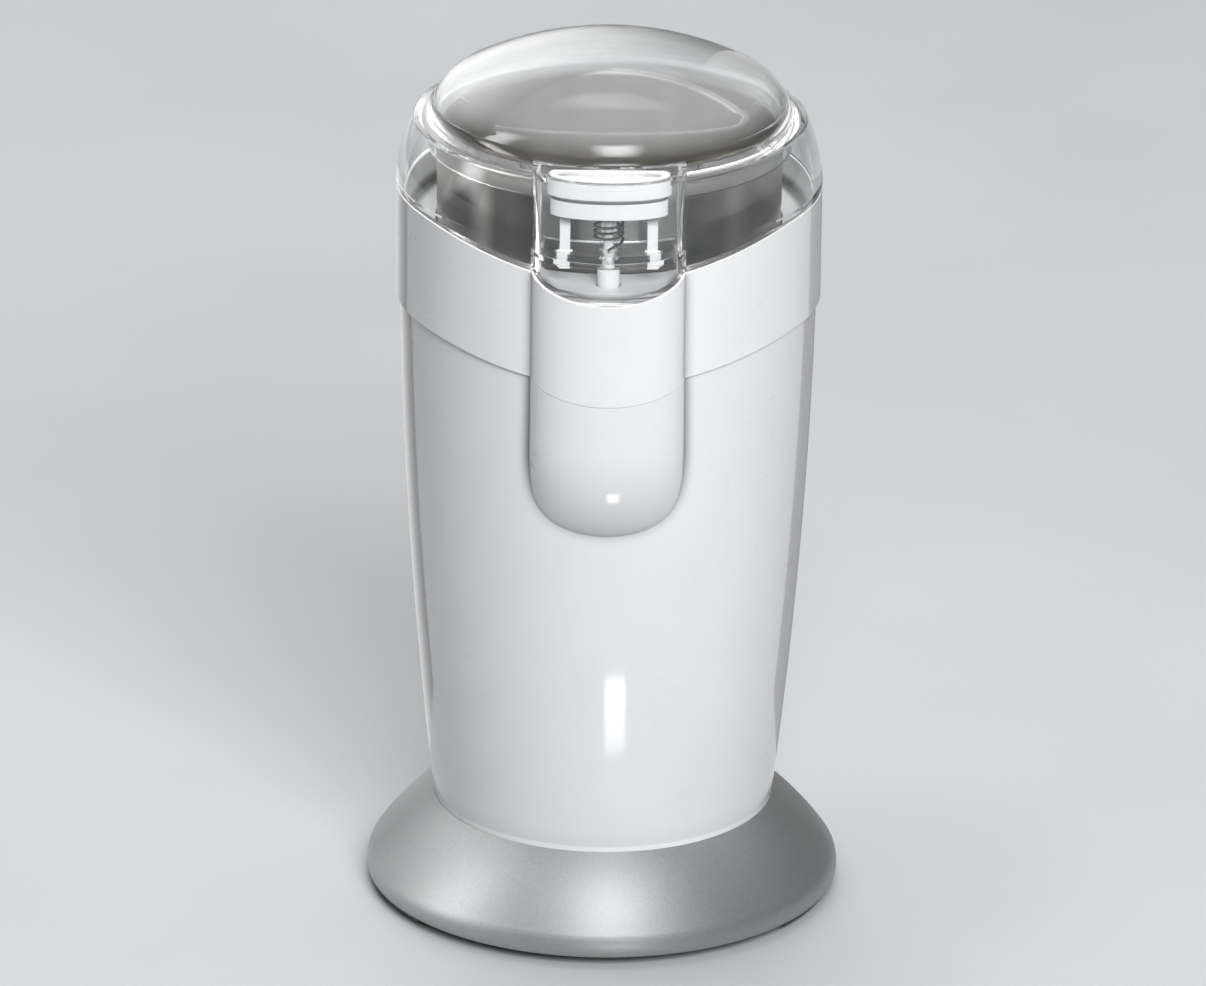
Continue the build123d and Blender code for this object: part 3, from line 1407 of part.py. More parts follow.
with BuildPart() as button_guide:
    add(tower(tower_inner_half_width - well_fit, tower_inner_depth - well_fit,
              tower_back_radius + tower_wall + well_fit, guide_floor_low_z, well_floor_z))
    add(disc(boss_radius, guide_floor_low_z - boss_drop, guide_floor_low_z, 0, plunger_y))
    add(disc(stem_pin_radius + boss_clearance, guide_floor_low_z - boss_drop, well_floor_z, 0, plunger_y),
        mode=Mode.SUBTRACT)
    with BuildSketch(Plane.XY.offset(well_floor_z)):
        with Locations((-leg_x, leg_y), (leg_x, leg_y)):
            Rectangle(leg_width + 2 * slot_clearance, leg_thickness + 2 * slot_clearance)
    extrude(amount=-well_floor_thickness, mode=Mode.SUBTRACT)
button_guide.part.label = "button_guide"
export_step(button_guide.part, "parts/button_guide.step")

# Button

with BuildPart() as button_cap:
    add(cap_plan(0, cap_low_z, cap_height))
    fillet(button_cap.edges().group_by(Axis.Z)[-1], radius=cap_edge)
    for margin, level in ((dish_margin + dish_slope, cap_top_z - dish_depth), (dish_margin, cap_top_z)):
        with BuildSketch(Plane.XY.offset(level)):
            with Locations((0, cap_y + (cap_back_depth - cap_depth) / 2)):
                Ellipse(cap_half_width - margin, (cap_depth + cap_back_depth) / 2 - margin)
    loft(mode=Mode.SUBTRACT)
button_cap.part.label = "button_cap"
export_step(button_cap.part, "parts/button_cap.step")

with BuildPart() as button_carrier:
    add(cap_plan(-neck_inset, ring_top_z, neck_height))
    add(cap_plan(-ring_inset, ring_low_z, ring_height))
    add(disc(spring_cup_radius, ring_low_z, ring_low_z + ring_height / 2, 0, plunger_y))
    with BuildSketch(Plane.XY.offset(ring_low_z)):
        with Locations((0, plunger_y)):
            Rectangle(stem_width, stem_thickness)
    extrude(amount=stem_shoulder_z - ring_low_z)
    add(disc(stem_pin_radius, stem_low_z, ring_low_z, 0, plunger_y))
    for facing in (-1, 1):
        with BuildSketch(Plane.XZ.offset(-leg_y + leg_thickness / 2)):
            with BuildLine():
                inner = facing * (leg_x - leg_width / 2)
                outer = facing * (leg_x + leg_width / 2)
                nose = facing * (leg_x + leg_width / 2 + hook_reach)
                Polyline((inner, ring_low_z), (outer, ring_low_z), (outer, hook_top_z), (nose, hook_top_z),
                         (nose, hook_top_z - hook_height / 2), (outer, hook_top_z - hook_height),
                         (inner, hook_top_z - hook_height), (inner, ring_low_z))
            make_face()
        extrude(amount=-leg_thickness)
button_carrier.part.label = "button_carrier"
export_step(button_carrier.part, "parts/button_carrier.step")

with BuildPart() as button_spring:
    add(coil((0, plunger_y), well_floor_z, ring_low_z, spring_radius, spring_wire, spring_turns))
button_spring.part.label = "button_spring"
export_step(button_spring.part, "parts/button_spring.step")
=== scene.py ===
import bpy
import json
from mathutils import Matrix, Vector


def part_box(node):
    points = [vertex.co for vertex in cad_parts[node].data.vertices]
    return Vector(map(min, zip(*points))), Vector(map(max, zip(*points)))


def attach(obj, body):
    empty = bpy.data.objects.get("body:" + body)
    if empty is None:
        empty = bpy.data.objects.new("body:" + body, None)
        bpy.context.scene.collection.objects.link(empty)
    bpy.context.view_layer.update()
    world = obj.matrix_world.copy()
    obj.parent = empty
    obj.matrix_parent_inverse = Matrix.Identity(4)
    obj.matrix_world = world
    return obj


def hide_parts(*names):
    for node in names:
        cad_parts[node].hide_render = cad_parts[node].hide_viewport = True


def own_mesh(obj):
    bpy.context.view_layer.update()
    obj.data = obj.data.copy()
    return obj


bl_info = {
    "name": "Coffee Grinder",
    "version": (1, 0, 0),
    "blender": (4, 5, 0),
    "location": "View3D > Sidebar > Grinder",
    "description": "Dresses a clear-lidded coffee grinder and sets a small studio around it",
    "category": "Object",
}

import json
from math import atan2, cos, degrees, pi, radians, sin, sqrt

import bpy
from bpy.props import FloatProperty, FloatVectorProperty, IntProperty, PointerProperty
from bpy.types import Operator, Panel, PropertyGroup
from mathutils import Matrix, Vector

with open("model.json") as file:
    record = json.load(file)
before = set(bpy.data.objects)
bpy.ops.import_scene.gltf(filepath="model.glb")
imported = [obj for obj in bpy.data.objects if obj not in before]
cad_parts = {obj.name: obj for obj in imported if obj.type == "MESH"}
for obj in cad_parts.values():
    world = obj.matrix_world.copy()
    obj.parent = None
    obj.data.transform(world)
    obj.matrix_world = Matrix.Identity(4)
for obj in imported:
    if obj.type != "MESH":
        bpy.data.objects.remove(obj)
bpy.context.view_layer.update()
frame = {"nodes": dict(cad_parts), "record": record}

MM = 0.001

# Sockets of a Mix node that mixes two colours
MIX_SHARE, MIX_FIRST, MIX_SECOND, MIX_RESULT = 0, 6, 7, 2


# Settings

class GrinderColours(PropertyGroup):
    """Colours of the visible finishes"""
    body: FloatVectorProperty(
        name="Body", description="Moulded body and the finger under the button column",
        subtype="COLOR", size=3, min=0, max=1, default=(0.84, 0.843, 0.855))
    collar: FloatVectorProperty(
        name="Collar", description="Gloss collar, button and plunger",
        subtype="COLOR", size=3, min=0, max=1, default=(0.765, 0.767, 0.775))
    silver: FloatVectorProperty(
        name="Silver paint", description="Metallic paint of the flared foot",
        subtype="COLOR", size=3, min=0, max=1, default=(0.37, 0.375, 0.38))
    clear: FloatVectorProperty(
        name="Clear plastic", description="Tint of the lid and of the floor under the button",
        subtype="COLOR", size=3, min=0, max=1, default=(0.97, 0.98, 0.98))
    bowl: FloatVectorProperty(
        name="Bowl steel", description="Drawn steel of the grinding bowl",
        subtype="COLOR", size=3, min=0, max=1, default=(0.5, 0.485, 0.46))
    # The outside of the bowl is the same steel as the inside; this darker colour is painted shade.
    bowl_outside: FloatVectorProperty(
        name="Bowl outside", description="Steel of the outside of the bowl, darkened as painted shade",
        subtype="COLOR", size=3, min=0, max=1, default=(0.18, 0.176, 0.17))
    floor: FloatVectorProperty(
        name="Floor", description="Plain floor of the stage",
        subtype="COLOR", size=3, min=0, max=1, default=(0.5, 0.51, 0.52))


class GrinderSprings(PropertyGroup):
    """Wire and turns of the three kinds of spring"""
    wire: FloatProperty(
        name="Wire", description="Thickness of the wire of the button and plunger springs",
        unit="LENGTH", min=0.0002, max=0.001, default=0.6 * MM)
    radius: FloatProperty(
        name="Coil radius", description="Mean radius of the button and plunger springs",
        unit="LENGTH", min=0.001, max=0.005, default=3.0 * MM)
    brush_wire: FloatProperty(
        name="Brush spring wire", description="Thickness of the wire behind the brushes",
        unit="LENGTH", min=0.0002, max=0.001, default=0.4 * MM)
    brush_radius: FloatProperty(
        name="Brush coil radius", description="Mean radius of the springs behind the brushes",
        unit="LENGTH", min=0.001, max=0.005, default=1.7 * MM)
    button_turns: IntProperty(
        name="Button spring turns", description="Turns of the spring under the button",
        min=2, max=8, default=3)
    plunger_turns: IntProperty(
        name="Plunger spring turns", description="Turns of the spring under the plunger",
        min=2, max=8, default=4)
    brush_turns: IntProperty(
        name="Brush spring turns", description="Turns of each spring behind a brush",
        min=3, max=10, default=6)


class GrinderStage(PropertyGroup):
    """Camera and lights"""
    distance: FloatProperty(
        name="Camera distance", description="From the camera to the middle of the grinder",
        unit="LENGTH", min=0.5, max=5, default=2.2)
    elevation: FloatProperty(
        name="Camera elevation", description="Angle of the camera above the table",
        subtype="ANGLE", min=0, max=1.5, default=radians(21.68))
    roll: FloatProperty(
        name="Camera roll", description="Turn of the camera about its view",
        subtype="ANGLE", min=-0.2, max=0.2, default=radians(0.64))
    aim: FloatVectorProperty(
        name="Camera aim", description="Point in the middle of the picture",
        subtype="XYZ", unit="LENGTH", size=3, default=(-0.00065, 0, 0.0926))
    lens: FloatProperty(
        name="Lens", description="Focal length in millimetres on a 36 mm wide sensor",
        min=50, max=600, default=292.86)
    front_light: FloatProperty(
        name="Front softbox", description="Power of the softbox beside the camera",
        unit="POWER", min=0, max=200, default=29)
    back_light: FloatProperty(
        name="Back softbox", description="Power of the softbox behind",
        unit="POWER", min=0, max=200, default=12)
    top_light: FloatProperty(
        name="Top softbox", description="Power of the softbox over the lid",
        unit="POWER", min=0, max=200, default=8)
    left_glow: FloatProperty(
        name="Left banner", description="Glow of the cloth at the left, seen only in gloss",
        min=0, max=40, default=10)
    front_glow: FloatProperty(
        name="Front banner", description="Glow of the cloth in front, seen only in gloss",
        min=0, max=40, default=15)
    lid_glow: FloatProperty(
        name="Lid banner", description="Glow of the cloth beside the lid, seen only in gloss",
        min=0, max=40, default=2.6)
    back_glow: FloatProperty(
        name="Back wall", description="Glow of the curved cloth behind, seen only in gloss",
        min=0, max=20, default=1.0)
    canopy_glow: FloatProperty(
        name="Canopy", description="Glow of the cloth overhead, seen only in gloss",
        min=0, max=20, default=5)
    edge_glow: FloatProperty(
        name="Side cards",
        description="Glow of the narrow cards beside the body, seen only in gloss",
        min=0, max=20, default=0.8)
    card_glow: FloatProperty(
        name="Front card",
        description="Glow of the small card low in front, seen only in gloss",
        min=0, max=40, default=9)
    room: FloatProperty(
        name="Room light", description="Strength of the plain light from all round",
        min=0, max=2, default=0.22)


# Textures

def blank(name):
    """A new material with its node tree and its main shader."""
    material = bpy.data.materials.new(name)
    material.use_nodes = True
    tree = material.node_tree
    return material, tree, tree.nodes["Principled BSDF"]


def feed(tree, value, socket):
    """Links a texture to a socket, or gives the socket a plain value."""
    if isinstance(value, bpy.types.NodeSocket):
        tree.links.new(value, socket)
    else:
        socket.default_value = value


def place(tree, stretch=(1, 1, 1), turn=0):
    """Object coordinates, stretched along an axis and turned about the main axis."""
    coordinates = tree.nodes.new("ShaderNodeTexCoord")
    mapping = tree.nodes.new("ShaderNodeMapping")
    mapping.inputs["Scale"].default_value = stretch
    mapping.inputs["Rotation"].default_value = (0, 0, turn)
    tree.links.new(coordinates.outputs["Object"], mapping.inputs["Vector"])
    return mapping.outputs["Vector"]


def axis(tree, vector, name):
    """One coordinate of a place."""
    node = tree.nodes.new("ShaderNodeSeparateXYZ")
    tree.links.new(vector, node.inputs["Vector"])
    return node.outputs[name]


def noise(tree, vector, scale, detail=3):
    """Soft noise over the piece."""
    node = tree.nodes.new("ShaderNodeTexNoise")
    node.inputs["Scale"].default_value = scale
    node.inputs["Detail"].default_value = detail
    tree.links.new(vector, node.inputs["Vector"])
    return node.outputs["Fac"]


def spread(tree, value, low, high, start=0.3, end=0.7):
    """A texture value turned into a range of numbers."""
    node = tree.nodes.new("ShaderNodeMapRange")
    node.inputs["From Min"].default_value = start
    node.inputs["From Max"].default_value = end
    node.inputs["To Min"].default_value = low
    node.inputs["To Max"].default_value = high
    tree.links.new(value, node.inputs["Value"])
    return node.outputs["Result"]


def share_of(tree, value, start, end):
    """How far a value has come from start to end, from 0 to 1."""
    return spread(tree, value, 0.0, 1.0, start, end)


def combined(tree, operation, first, second):
    """Two values joined by a sum, a product or the like."""
    node = tree.nodes.new("ShaderNodeMath")
    node.operation = operation
    feed(tree, first, node.inputs[0])
    feed(tree, second, node.inputs[1])
    return node.outputs[0]


def product(tree, first, *others):
    """Values multiplied one after the other."""
    for value in others:
        first = combined(tree, "MULTIPLY", first, value)
    return first


def offset(tree, vector, name):
    """Distance from the middle along one axis, the same on both sides."""
    return combined(tree, "ABSOLUTE", axis(tree, vector, name), 0.0)


def tones(tree, value, dark, light, start=0.35, end=0.65):
    """A texture value turned into a mix of two colours."""
    node = tree.nodes.new("ShaderNodeValToRGB")
    for element, position, colour in zip(node.color_ramp.elements, (start, end), (dark, light)):
        element.position = position
        element.color = (*colour, 1)
    tree.links.new(value, node.inputs["Fac"])
    return node.outputs["Color"]


def levels(tree, value, stops):
    """A texture value turned into a brightness that eases between stops."""
    node = tree.nodes.new("ShaderNodeValToRGB")
    ramp = node.color_ramp
    ramp.interpolation = "EASE"
    ramp.elements[0].position = stops[0][0]
    ramp.elements[1].position = stops[-1][0]
    for position, brightness in stops[1:-1]:
        ramp.elements.new(position)
    for element, (position, brightness) in zip(ramp.elements, stops):
        element.color = (brightness, brightness, brightness, 1)
    tree.links.new(value, node.inputs["Fac"])
    return node.outputs["Color"]


def mixed(tree, share, first, second, blend_type="MIX"):
    """Two colours mixed by a share."""
    node = tree.nodes.new("ShaderNodeMix")
    node.data_type = "RGBA"
    node.blend_type = blend_type
    feed(tree, share, node.inputs[MIX_SHARE])
    feed(tree, first, node.inputs[MIX_FIRST])
    feed(tree, second, node.inputs[MIX_SECOND])
    return node.outputs[MIX_RESULT]


def shade(colour, factor):
    """The same colour, darker or lighter."""
    return tuple(min(1.0, c * factor) for c in colour)


def painted_light_band(tree, colour, value, stops):
    """The colour, with painted light and shade along a value."""
    return mixed(tree, 1.0, colour, levels(tree, value, stops), "MULTIPLY")


def painted_crease_shade(tree, colour, reach=3 * MM, depth=0.25):
    """The colour, darker in inner corners and seams: painted shade."""
    corner = tree.nodes.new("ShaderNodeAmbientOcclusion")
    corner.samples = 8
    corner.only_local = True
    corner.inputs["Distance"].default_value = reach
    openness = spread(tree, corner.outputs["AO"], depth, 1.0, 0.8, 1.0)
    return mixed(tree, 1.0, colour, openness, "MULTIPLY")


def relief(tree, shader, height, distance, strength):
    """Fine bumps on the surface."""
    node = tree.nodes.new("ShaderNodeBump")
    node.inputs["Strength"].default_value = strength
    node.inputs["Distance"].default_value = distance
    tree.links.new(height, node.inputs["Height"])
    tree.links.new(node.outputs["Normal"], shader.inputs["Normal"])


# Finishes

def moulded(name, colour, roughness, coat=0.0, rim=None):
    """Gloss plastic with a faint cloud and painted shade in its creases; if a rim height is given,
    a painted highlight along its lower edge with a band of painted shade just above it.
    """
    material, tree, shader = blank(name)
    where = place(tree)
    cloud = tones(tree, noise(tree, where, 40), shade(colour, 0.985), shade(colour, 1.01))
    if rim:
        # Painted highlight along the lower edge, and painted shade in a band just above it.
        height = share_of(tree, axis(tree, where, "Z"), rim, rim + 12 * MM)
        cloud = painted_light_band(tree, cloud, height,
                       [(0.0, 1.0), (0.07, 1.0), (0.13, 0.82), (0.5, 0.88), (1.0, 0.88)])
    # Painted shade in inner corners and seams goes into the base colour.
    tree.links.new(painted_crease_shade(tree, cloud), shader.inputs["Base Color"])
    tree.links.new(spread(tree, noise(tree, where, 160), roughness * 0.9, roughness * 1.1),
                   shader.inputs["Roughness"])
    shader.inputs["Specular IOR Level"].default_value = 0.15
    shader.inputs["Coat Weight"].default_value = coat
    shader.inputs["Coat Roughness"].default_value = 0.07
    relief(tree, shader, noise(tree, where, 30, 1), 0.02 * MM, 0.2)
    return material


def flake_paint(name, colour):
    """Metallic paint: fine flakes that each catch the light a little differently."""
    material, tree, shader = blank(name)
    flakes = tree.nodes.new("ShaderNodeTexVoronoi")
    flakes.inputs["Scale"].default_value = 2600
    tree.links.new(place(tree), flakes.inputs["Vector"])
    paint = tones(tree, flakes.outputs["Color"], shade(colour, 0.95), shade(colour, 1.05), 0.1, 0.9)
    tree.links.new(paint, shader.inputs["Base Color"])
    shader.inputs["Metallic"].default_value = 0.85
    shader.inputs["Roughness"].default_value = 0.5
    shader.inputs["Coat Weight"].default_value = 0.1
    shader.inputs["Coat Roughness"].default_value = 0.25
    relief(tree, shader, flakes.outputs["Distance"], 0.03 * MM, 0.2)
    return material


def clear(name, colour, haze=0.12, blur=0.05, haze_from=185 * MM, haze_to=190 * MM):
    """Clear plastic with a trace of tint, a little milky towards the top of the lid."""
    material, tree, shader = blank(name)
    where = place(tree)
    tint = tones(tree, noise(tree, where, 30), shade(colour, 0.99), colour)
    tree.links.new(tint, shader.inputs["Base Color"])
    dome = share_of(tree, axis(tree, where, "Z"), haze_from, haze_to)
    tree.links.new(spread(tree, dome, 0.0, blur, 0, 1), shader.inputs["Roughness"])
    tree.links.new(spread(tree, dome, 1.0, 1 - haze, 0, 1), shader.inputs["Transmission Weight"])
    shader.inputs["IOR"].default_value = 1.49
    path = tree.nodes.new("ShaderNodeLightPath")
    shadow = spread(tree, path.outputs["Is Shadow Ray"], 0.0, 0.96, 0, 1)
    deep = share_of(tree, path.outputs["Ray Depth"], 3, 5)
    passed = combined(tree, "MAXIMUM", shadow, deep)
    tree.links.new(spread(tree, passed, 1.0, 0.0, 0, 1), shader.inputs["Alpha"])
    return material


def drawn_steel(name, colour, roughness, stretch, depth=0.15):
    """Steel with fine lines along one direction."""
    material, tree, shader = blank(name)
    lines = noise(tree, place(tree, stretch), 1, 2)
    tree.links.new(tones(tree, lines, shade(colour, 0.93), shade(colour, 1.07)),
                   shader.inputs["Base Color"])
    tree.links.new(spread(tree, lines, roughness * 0.9, roughness * 1.1),
                   shader.inputs["Roughness"])
    shader.inputs["Metallic"].default_value = 1.0
    relief(tree, shader, lines, 0.004 * MM, depth)
    return material


def bowl_outside(name, shaded_steel, bright):
    """Bowl steel darkened with painted shade, lifted back to the bright steel towards the rim, with
    a painted reflection band down each side and soft upright streaks.
    """
    material, tree, shader = blank(name)
    where = place(tree)
    across = offset(tree, where, "X")
    beyond = combined(tree, "MAXIMUM", combined(tree, "SUBTRACT", across, 26 * MM), 0.0)
    bend = product(tree, beyond, beyond, 0.1 / MM)
    height = combined(tree, "ADD", axis(tree, where, "Z"), bend)
    # The painted shade fades out towards the rim; the band at each side is a painted reflection.
    rim = share_of(tree, height, 175 * MM, 178.5 * MM)
    painted_reflection_band = levels(tree, share_of(tree, across, 20 * MM, 36 * MM),
                    [(0.25, 0.0), (0.45, 1.0), (0.7, 0.0)])
    painted_light_share = combined(tree, "MAXIMUM", rim, painted_reflection_band)
    streaks = tones(tree, noise(tree, place(tree, (45, 45, 2)), 1, 2),
                    shade(shaded_steel, 0.7), shade(shaded_steel, 1.9), 0.35, 0.7)
    tree.links.new(mixed(tree, painted_light_share, streaks, (*bright, 1)), shader.inputs["Base Color"])
    tree.links.new(spread(tree, painted_light_share, 0.34, 0.4, 0, 1), shader.inputs["Roughness"])
    shader.inputs["Metallic"].default_value = 1.0
    relief(tree, shader, noise(tree, place(tree, (260, 260, 4)), 1, 2), 0.004 * MM, 0.15)
    return material


def plain_metal(name, colour, roughness, scale=500):
    """Plated, cast or turned metal with uneven gloss."""
    material, tree, shader = blank(name)
    cloud = noise(tree, place(tree), scale)
    tree.links.new(tones(tree, cloud, shade(colour, 0.88), shade(colour, 1.1)),
                   shader.inputs["Base Color"])
    tree.links.new(spread(tree, cloud, roughness * 0.8, roughness * 1.25),
                   shader.inputs["Roughness"])
    shader.inputs["Metallic"].default_value = 1.0
    relief(tree, shader, cloud, 0.02 * MM, 0.3)
    return material


def matt(name, colour, roughness):
    """Rubber and rough plastic."""
    material, tree, shader = blank(name)
    grain = noise(tree, place(tree), 1500, 2)
    tree.links.new(tones(tree, grain, shade(colour, 0.85), shade(colour, 1.2)),
                   shader.inputs["Base Color"])
    shader.inputs["Roughness"].default_value = roughness
    relief(tree, shader, grain, 0.03 * MM, 0.5)
    return material


def laminated(name, colour):
    """A stack of thin sheets, seen as fine level lines."""
    material, tree, shader = blank(name)
    sheets = noise(tree, place(tree, (4, 4, 1600)), 1, 1)
    tree.links.new(tones(tree, sheets, shade(colour, 0.6), shade(colour, 1.3)),
                   shader.inputs["Base Color"])
    shader.inputs["Metallic"].default_value = 0.9
    shader.inputs["Roughness"].default_value = 0.45
    relief(tree, shader, sheets, 0.05 * MM, 0.6)
    return material


def wound(name, colour):
    """Enamelled wire laid in close turns."""
    material, tree, shader = blank(name)
    turns = tree.nodes.new("ShaderNodeTexWave")
    turns.inputs["Scale"].default_value = 320
    turns.inputs["Distortion"].default_value = 1.5
    tree.links.new(place(tree), turns.inputs["Vector"])
    wires = turns.outputs["Fac"]
    tree.links.new(tones(tree, wires, shade(colour, 0.5), shade(colour, 1.2), 0.1, 0.8),
                   shader.inputs["Base Color"])
    shader.inputs["Metallic"].default_value = 0.8
    shader.inputs["Roughness"].default_value = 0.35
    relief(tree, shader, wires, 0.1 * MM, 0.7)
    return material


def finishes():
    """One material for each of the record's slots, and one for the outside of the bowl: its steel
    darkened with painted shade.
    """
    colours = bpy.context.scene.grinder_colours
    body, collar, bowl = tuple(colours.body), tuple(colours.collar), tuple(colours.bowl)
    body_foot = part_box("body_housing")[0].z
    return {
        # The body's lower edge sets where its painted highlight and painted shade band lie.
        "white_body": moulded("Body plastic", body, roughness=0.3, coat=1.0, rim=body_foot),
        "white_collar": moulded("Collar plastic", collar, roughness=0.3, coat=1.0),
        "white_button": moulded("Button plastic", collar, roughness=0.3, coat=0.6),
        "silver_foot": flake_paint("Silver paint", tuple(colours.silver)),
        "clear_plastic": clear("Clear plastic", tuple(colours.clear)),
        "bowl_steel": drawn_steel("Bowl steel", bowl, 0.36, stretch=(120, 120, 4), depth=0.03),
        # A darker copy of the bowl steel: painted shade on the outside of the bowl.
        "bowl_outside": bowl_outside("Bowl steel outside", tuple(colours.bowl_outside), bowl),
        "blade_steel": drawn_steel("Ground steel", (0.6, 0.6, 0.61), 0.25, stretch=(60, 900, 900)),
        "zinc_steel": plain_metal("Zinc plated steel", (0.6, 0.61, 0.63), 0.3),
        "spring_steel": plain_metal("Spring wire", (0.2, 0.2, 0.2), 0.3),
        "core_steel": laminated("Core sheets", (0.25, 0.25, 0.26)),
        "cast_aluminium": plain_metal("Cast aluminium", (0.62, 0.63, 0.64), 0.5, scale=900),
        "bearing_bronze": plain_metal("Bearing bronze", (0.6, 0.43, 0.22), 0.35),
        "copper_wire": wound("Enamelled wire", (0.7, 0.34, 0.16)),
        "dark_plastic": matt("Dark plastic", (0.035, 0.035, 0.038), 0.5),
        "grey_plastic": matt("Grey plastic", (0.42, 0.43, 0.44), 0.5),
        "carbon": matt("Carbon", (0.03, 0.03, 0.03), 0.6),
        "capacitor_plastic": matt("Capacitor case", (0.08, 0.14, 0.4), 0.4),
        "wire_plastic": matt("Wire sleeve", (0.05, 0.05, 0.055), 0.4),
        "black_rubber": matt("Black rubber", (0.025, 0.025, 0.025), 0.75),
    }


MATERIALS = {}


def give(piece, slot):
    """Puts one finish on a whole piece."""
    if not MATERIALS:
        MATERIALS.update(finishes())
    piece.data.materials.clear()
    piece.data.materials.append(MATERIALS[slot])


def smooth(piece, angle=35):
    """Smooth faces with crisp edges."""
    for face in piece.data.polygons:
        face.use_smooth = True
    piece.data.set_sharp_from_angle(angle=radians(angle))


# Pieces

def entry_of(entries, key, name):
    """The entry of a list in the record that has this name."""
    for entry in entries:
        if entry[key] == name:
            return entry
    raise RuntimeError("nothing in the record is named " + name)


def dress(*nodes):
    """Gives CAD nodes the finish of their slot."""
    for node in nodes:
        piece = frame["nodes"][node]
        give(piece, entry_of(frame["record"]["subparts"], "node", node)["material_slot"])
        smooth(piece)


def add_piece(name, verts, faces, body, slot, *replaced):
    """A new mesh piece that rides on a body and stands for CAD nodes."""
    mesh = bpy.data.meshes.new(name)
    mesh.from_pydata([tuple(v) for v in verts], [], faces)
    mesh.validate()
    piece = bpy.data.objects.new(name, mesh)
    bpy.context.scene.collection.objects.link(piece)
    give(piece, slot)
    smooth(piece)
    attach(piece, body)
    if replaced:
        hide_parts(*replaced)
    return piece


class GRINDER_OT_body(Operator):
    """Give the body, the collar and the foot their finish"""
    bl_idname = "grinder.body"
    bl_label = "Body"

    def execute(self, context):
        dress("body_housing", "collar", "base_cover", "cord_winder", "cord_grommet",
              "rubber_feet", "base_screws")
        return {"FINISHED"}


class GRINDER_OT_lid(Operator):
    """Give the lid and the button their finish"""
    bl_idname = "grinder.lid"
    bl_label = "Lid"

    def execute(self, context):
        dress("lid_shell", "button_guide", "button_cap", "button_carrier", "switch_plunger")
        return {"FINISHED"}


class GRINDER_OT_motor(Operator):
    """Give the motor and the switch their finish"""
    bl_idname = "grinder.motor"
    bl_label = "Motor and switch"

    def execute(self, context):
        dress("stator_core", "field_coils", "armature_core", "armature_winding", "commutator",
              "cooling_fan", "upper_bracket", "lower_bracket", "upper_bearing", "lower_bearing",
              "motor_bolts", "motor_cushions", "brush_holders", "carbon_brushes",
              "suppressor_capacitor", "lead_wires", "switch_bracket", "bracket_screws",
              "microswitch", "switch_screws", "switch_lever")
        return {"FINISHED"}


# Bowl

def arc(centre, radius, start, end, steps):
    """Points of an arc in the section plane, angles in degrees."""
    angles = [radians(start + (end - start) * step / steps) for step in range(steps + 1)]
    return [(centre[0] + radius * cos(a), centre[1] + radius * sin(a)) for a in angles]


def lathe(profile, steps=160):
    """A closed ring of faces round the main axis, from a closed profile of radius and height."""
    verts = []
    faces = []
    count = len(profile)
    for step in range(steps):
        angle = 2 * pi * step / steps
        verts += [(r * cos(angle), r * sin(angle), z) for r, z in profile]
    for step in range(steps):
        here = step * count
        there = (step + 1) % steps * count
        for index in range(count):
            after = (index + 1) % count
            faces.append((here + index, there + index, there + after, here + after))
    return verts, faces


class GRINDER_OT_bowl(Operator):
    """Draw the bowl and give the blade and what carries it their finish"""
    bl_idname = "grinder.bowl"
    bl_label = "Bowl and blade"

    def execute(self, context):
        low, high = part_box("grinding_bowl")
        wall = 0.8 * MM
        bead = 0.7 * MM
        corner = 10 * MM
        hole = 7 * MM
        corner_steps = 14
        bead_steps = 20
        outer = high.x + wall / 2 - bead
        top = high.z - bead
        reach = sqrt(bead * bead - wall * wall / 4)
        lean = 90 - degrees(atan2(wall / 2, reach))
        corner_centre = (outer - corner, low.z + corner)
        rise = [low.z + corner + (top - reach - low.z - corner) * share
                for share in (0.25, 0.5, 0.75)]
        outside = [(hole, low.z)]
        outside += arc(corner_centre, corner, -90, 0, corner_steps)
        outside += [(outer, z) for z in rise]
        rim = arc((outer - wall / 2, top), bead, -lean, 180 + lean, bead_steps)
        inside = [(outer - wall, z) for z in reversed(rise)]
        inside += arc(corner_centre, corner - wall, 0, -90, corner_steps)
        inside += [(hole, low.z + wall)]
        profile = outside + rim + inside
        verts, faces = lathe(profile)
        bowl = add_piece("steel_bowl", verts, faces, "base", "bowl_steel", "grinding_bowl")
        # The outside of the bowl and its bead get the copy of the steel darkened with painted
        # shade.
        bowl.data.materials.append(MATERIALS["bowl_outside"])
        bead_share = 4
        for number, face in enumerate(bowl.data.polygons):
            if number % len(profile) < len(outside) + bead_share:
                face.material_index = 1
        dress("cutting_blade", "blade_nut", "blade_spacer", "shaft_seal", "bowl_carrier",
              "carrier_screws", "rotor_shaft")
        return {"FINISHED"}


# Springs

def coil_line(low, high, radius, wire, turns, steps=40):
    """Points of a wound spring round the main axis, with straight ends on their seats."""
    lead = 0.25
    ease = 0.7
    rise = radius * 0.5
    total = turns + 2 * lead
    count = int(total * steps)
    points = [Vector((0, -radius, low)), Vector((0, -radius, low + wire))]
    for step in range(1, count):
        share = step / count
        turn = -lead + share * total
        if turn < 0:
            level = low + wire + rise * (share * total / lead) ** ease
        elif turn > turns:
            level = high - wire - rise * ((1 - share) * total / lead) ** ease
        else:
            level = low + wire + rise + (high - low - 2 * (wire + rise)) * (turn / turns)
        angle = 2 * pi * turn
        points.append(Vector((radius * cos(angle), radius * sin(angle), level)))
    end = 2 * pi * (turns + lead)
    for level in (high - wire, high):
        points.append(Vector((radius * cos(end), radius * sin(end), level)))
    return points


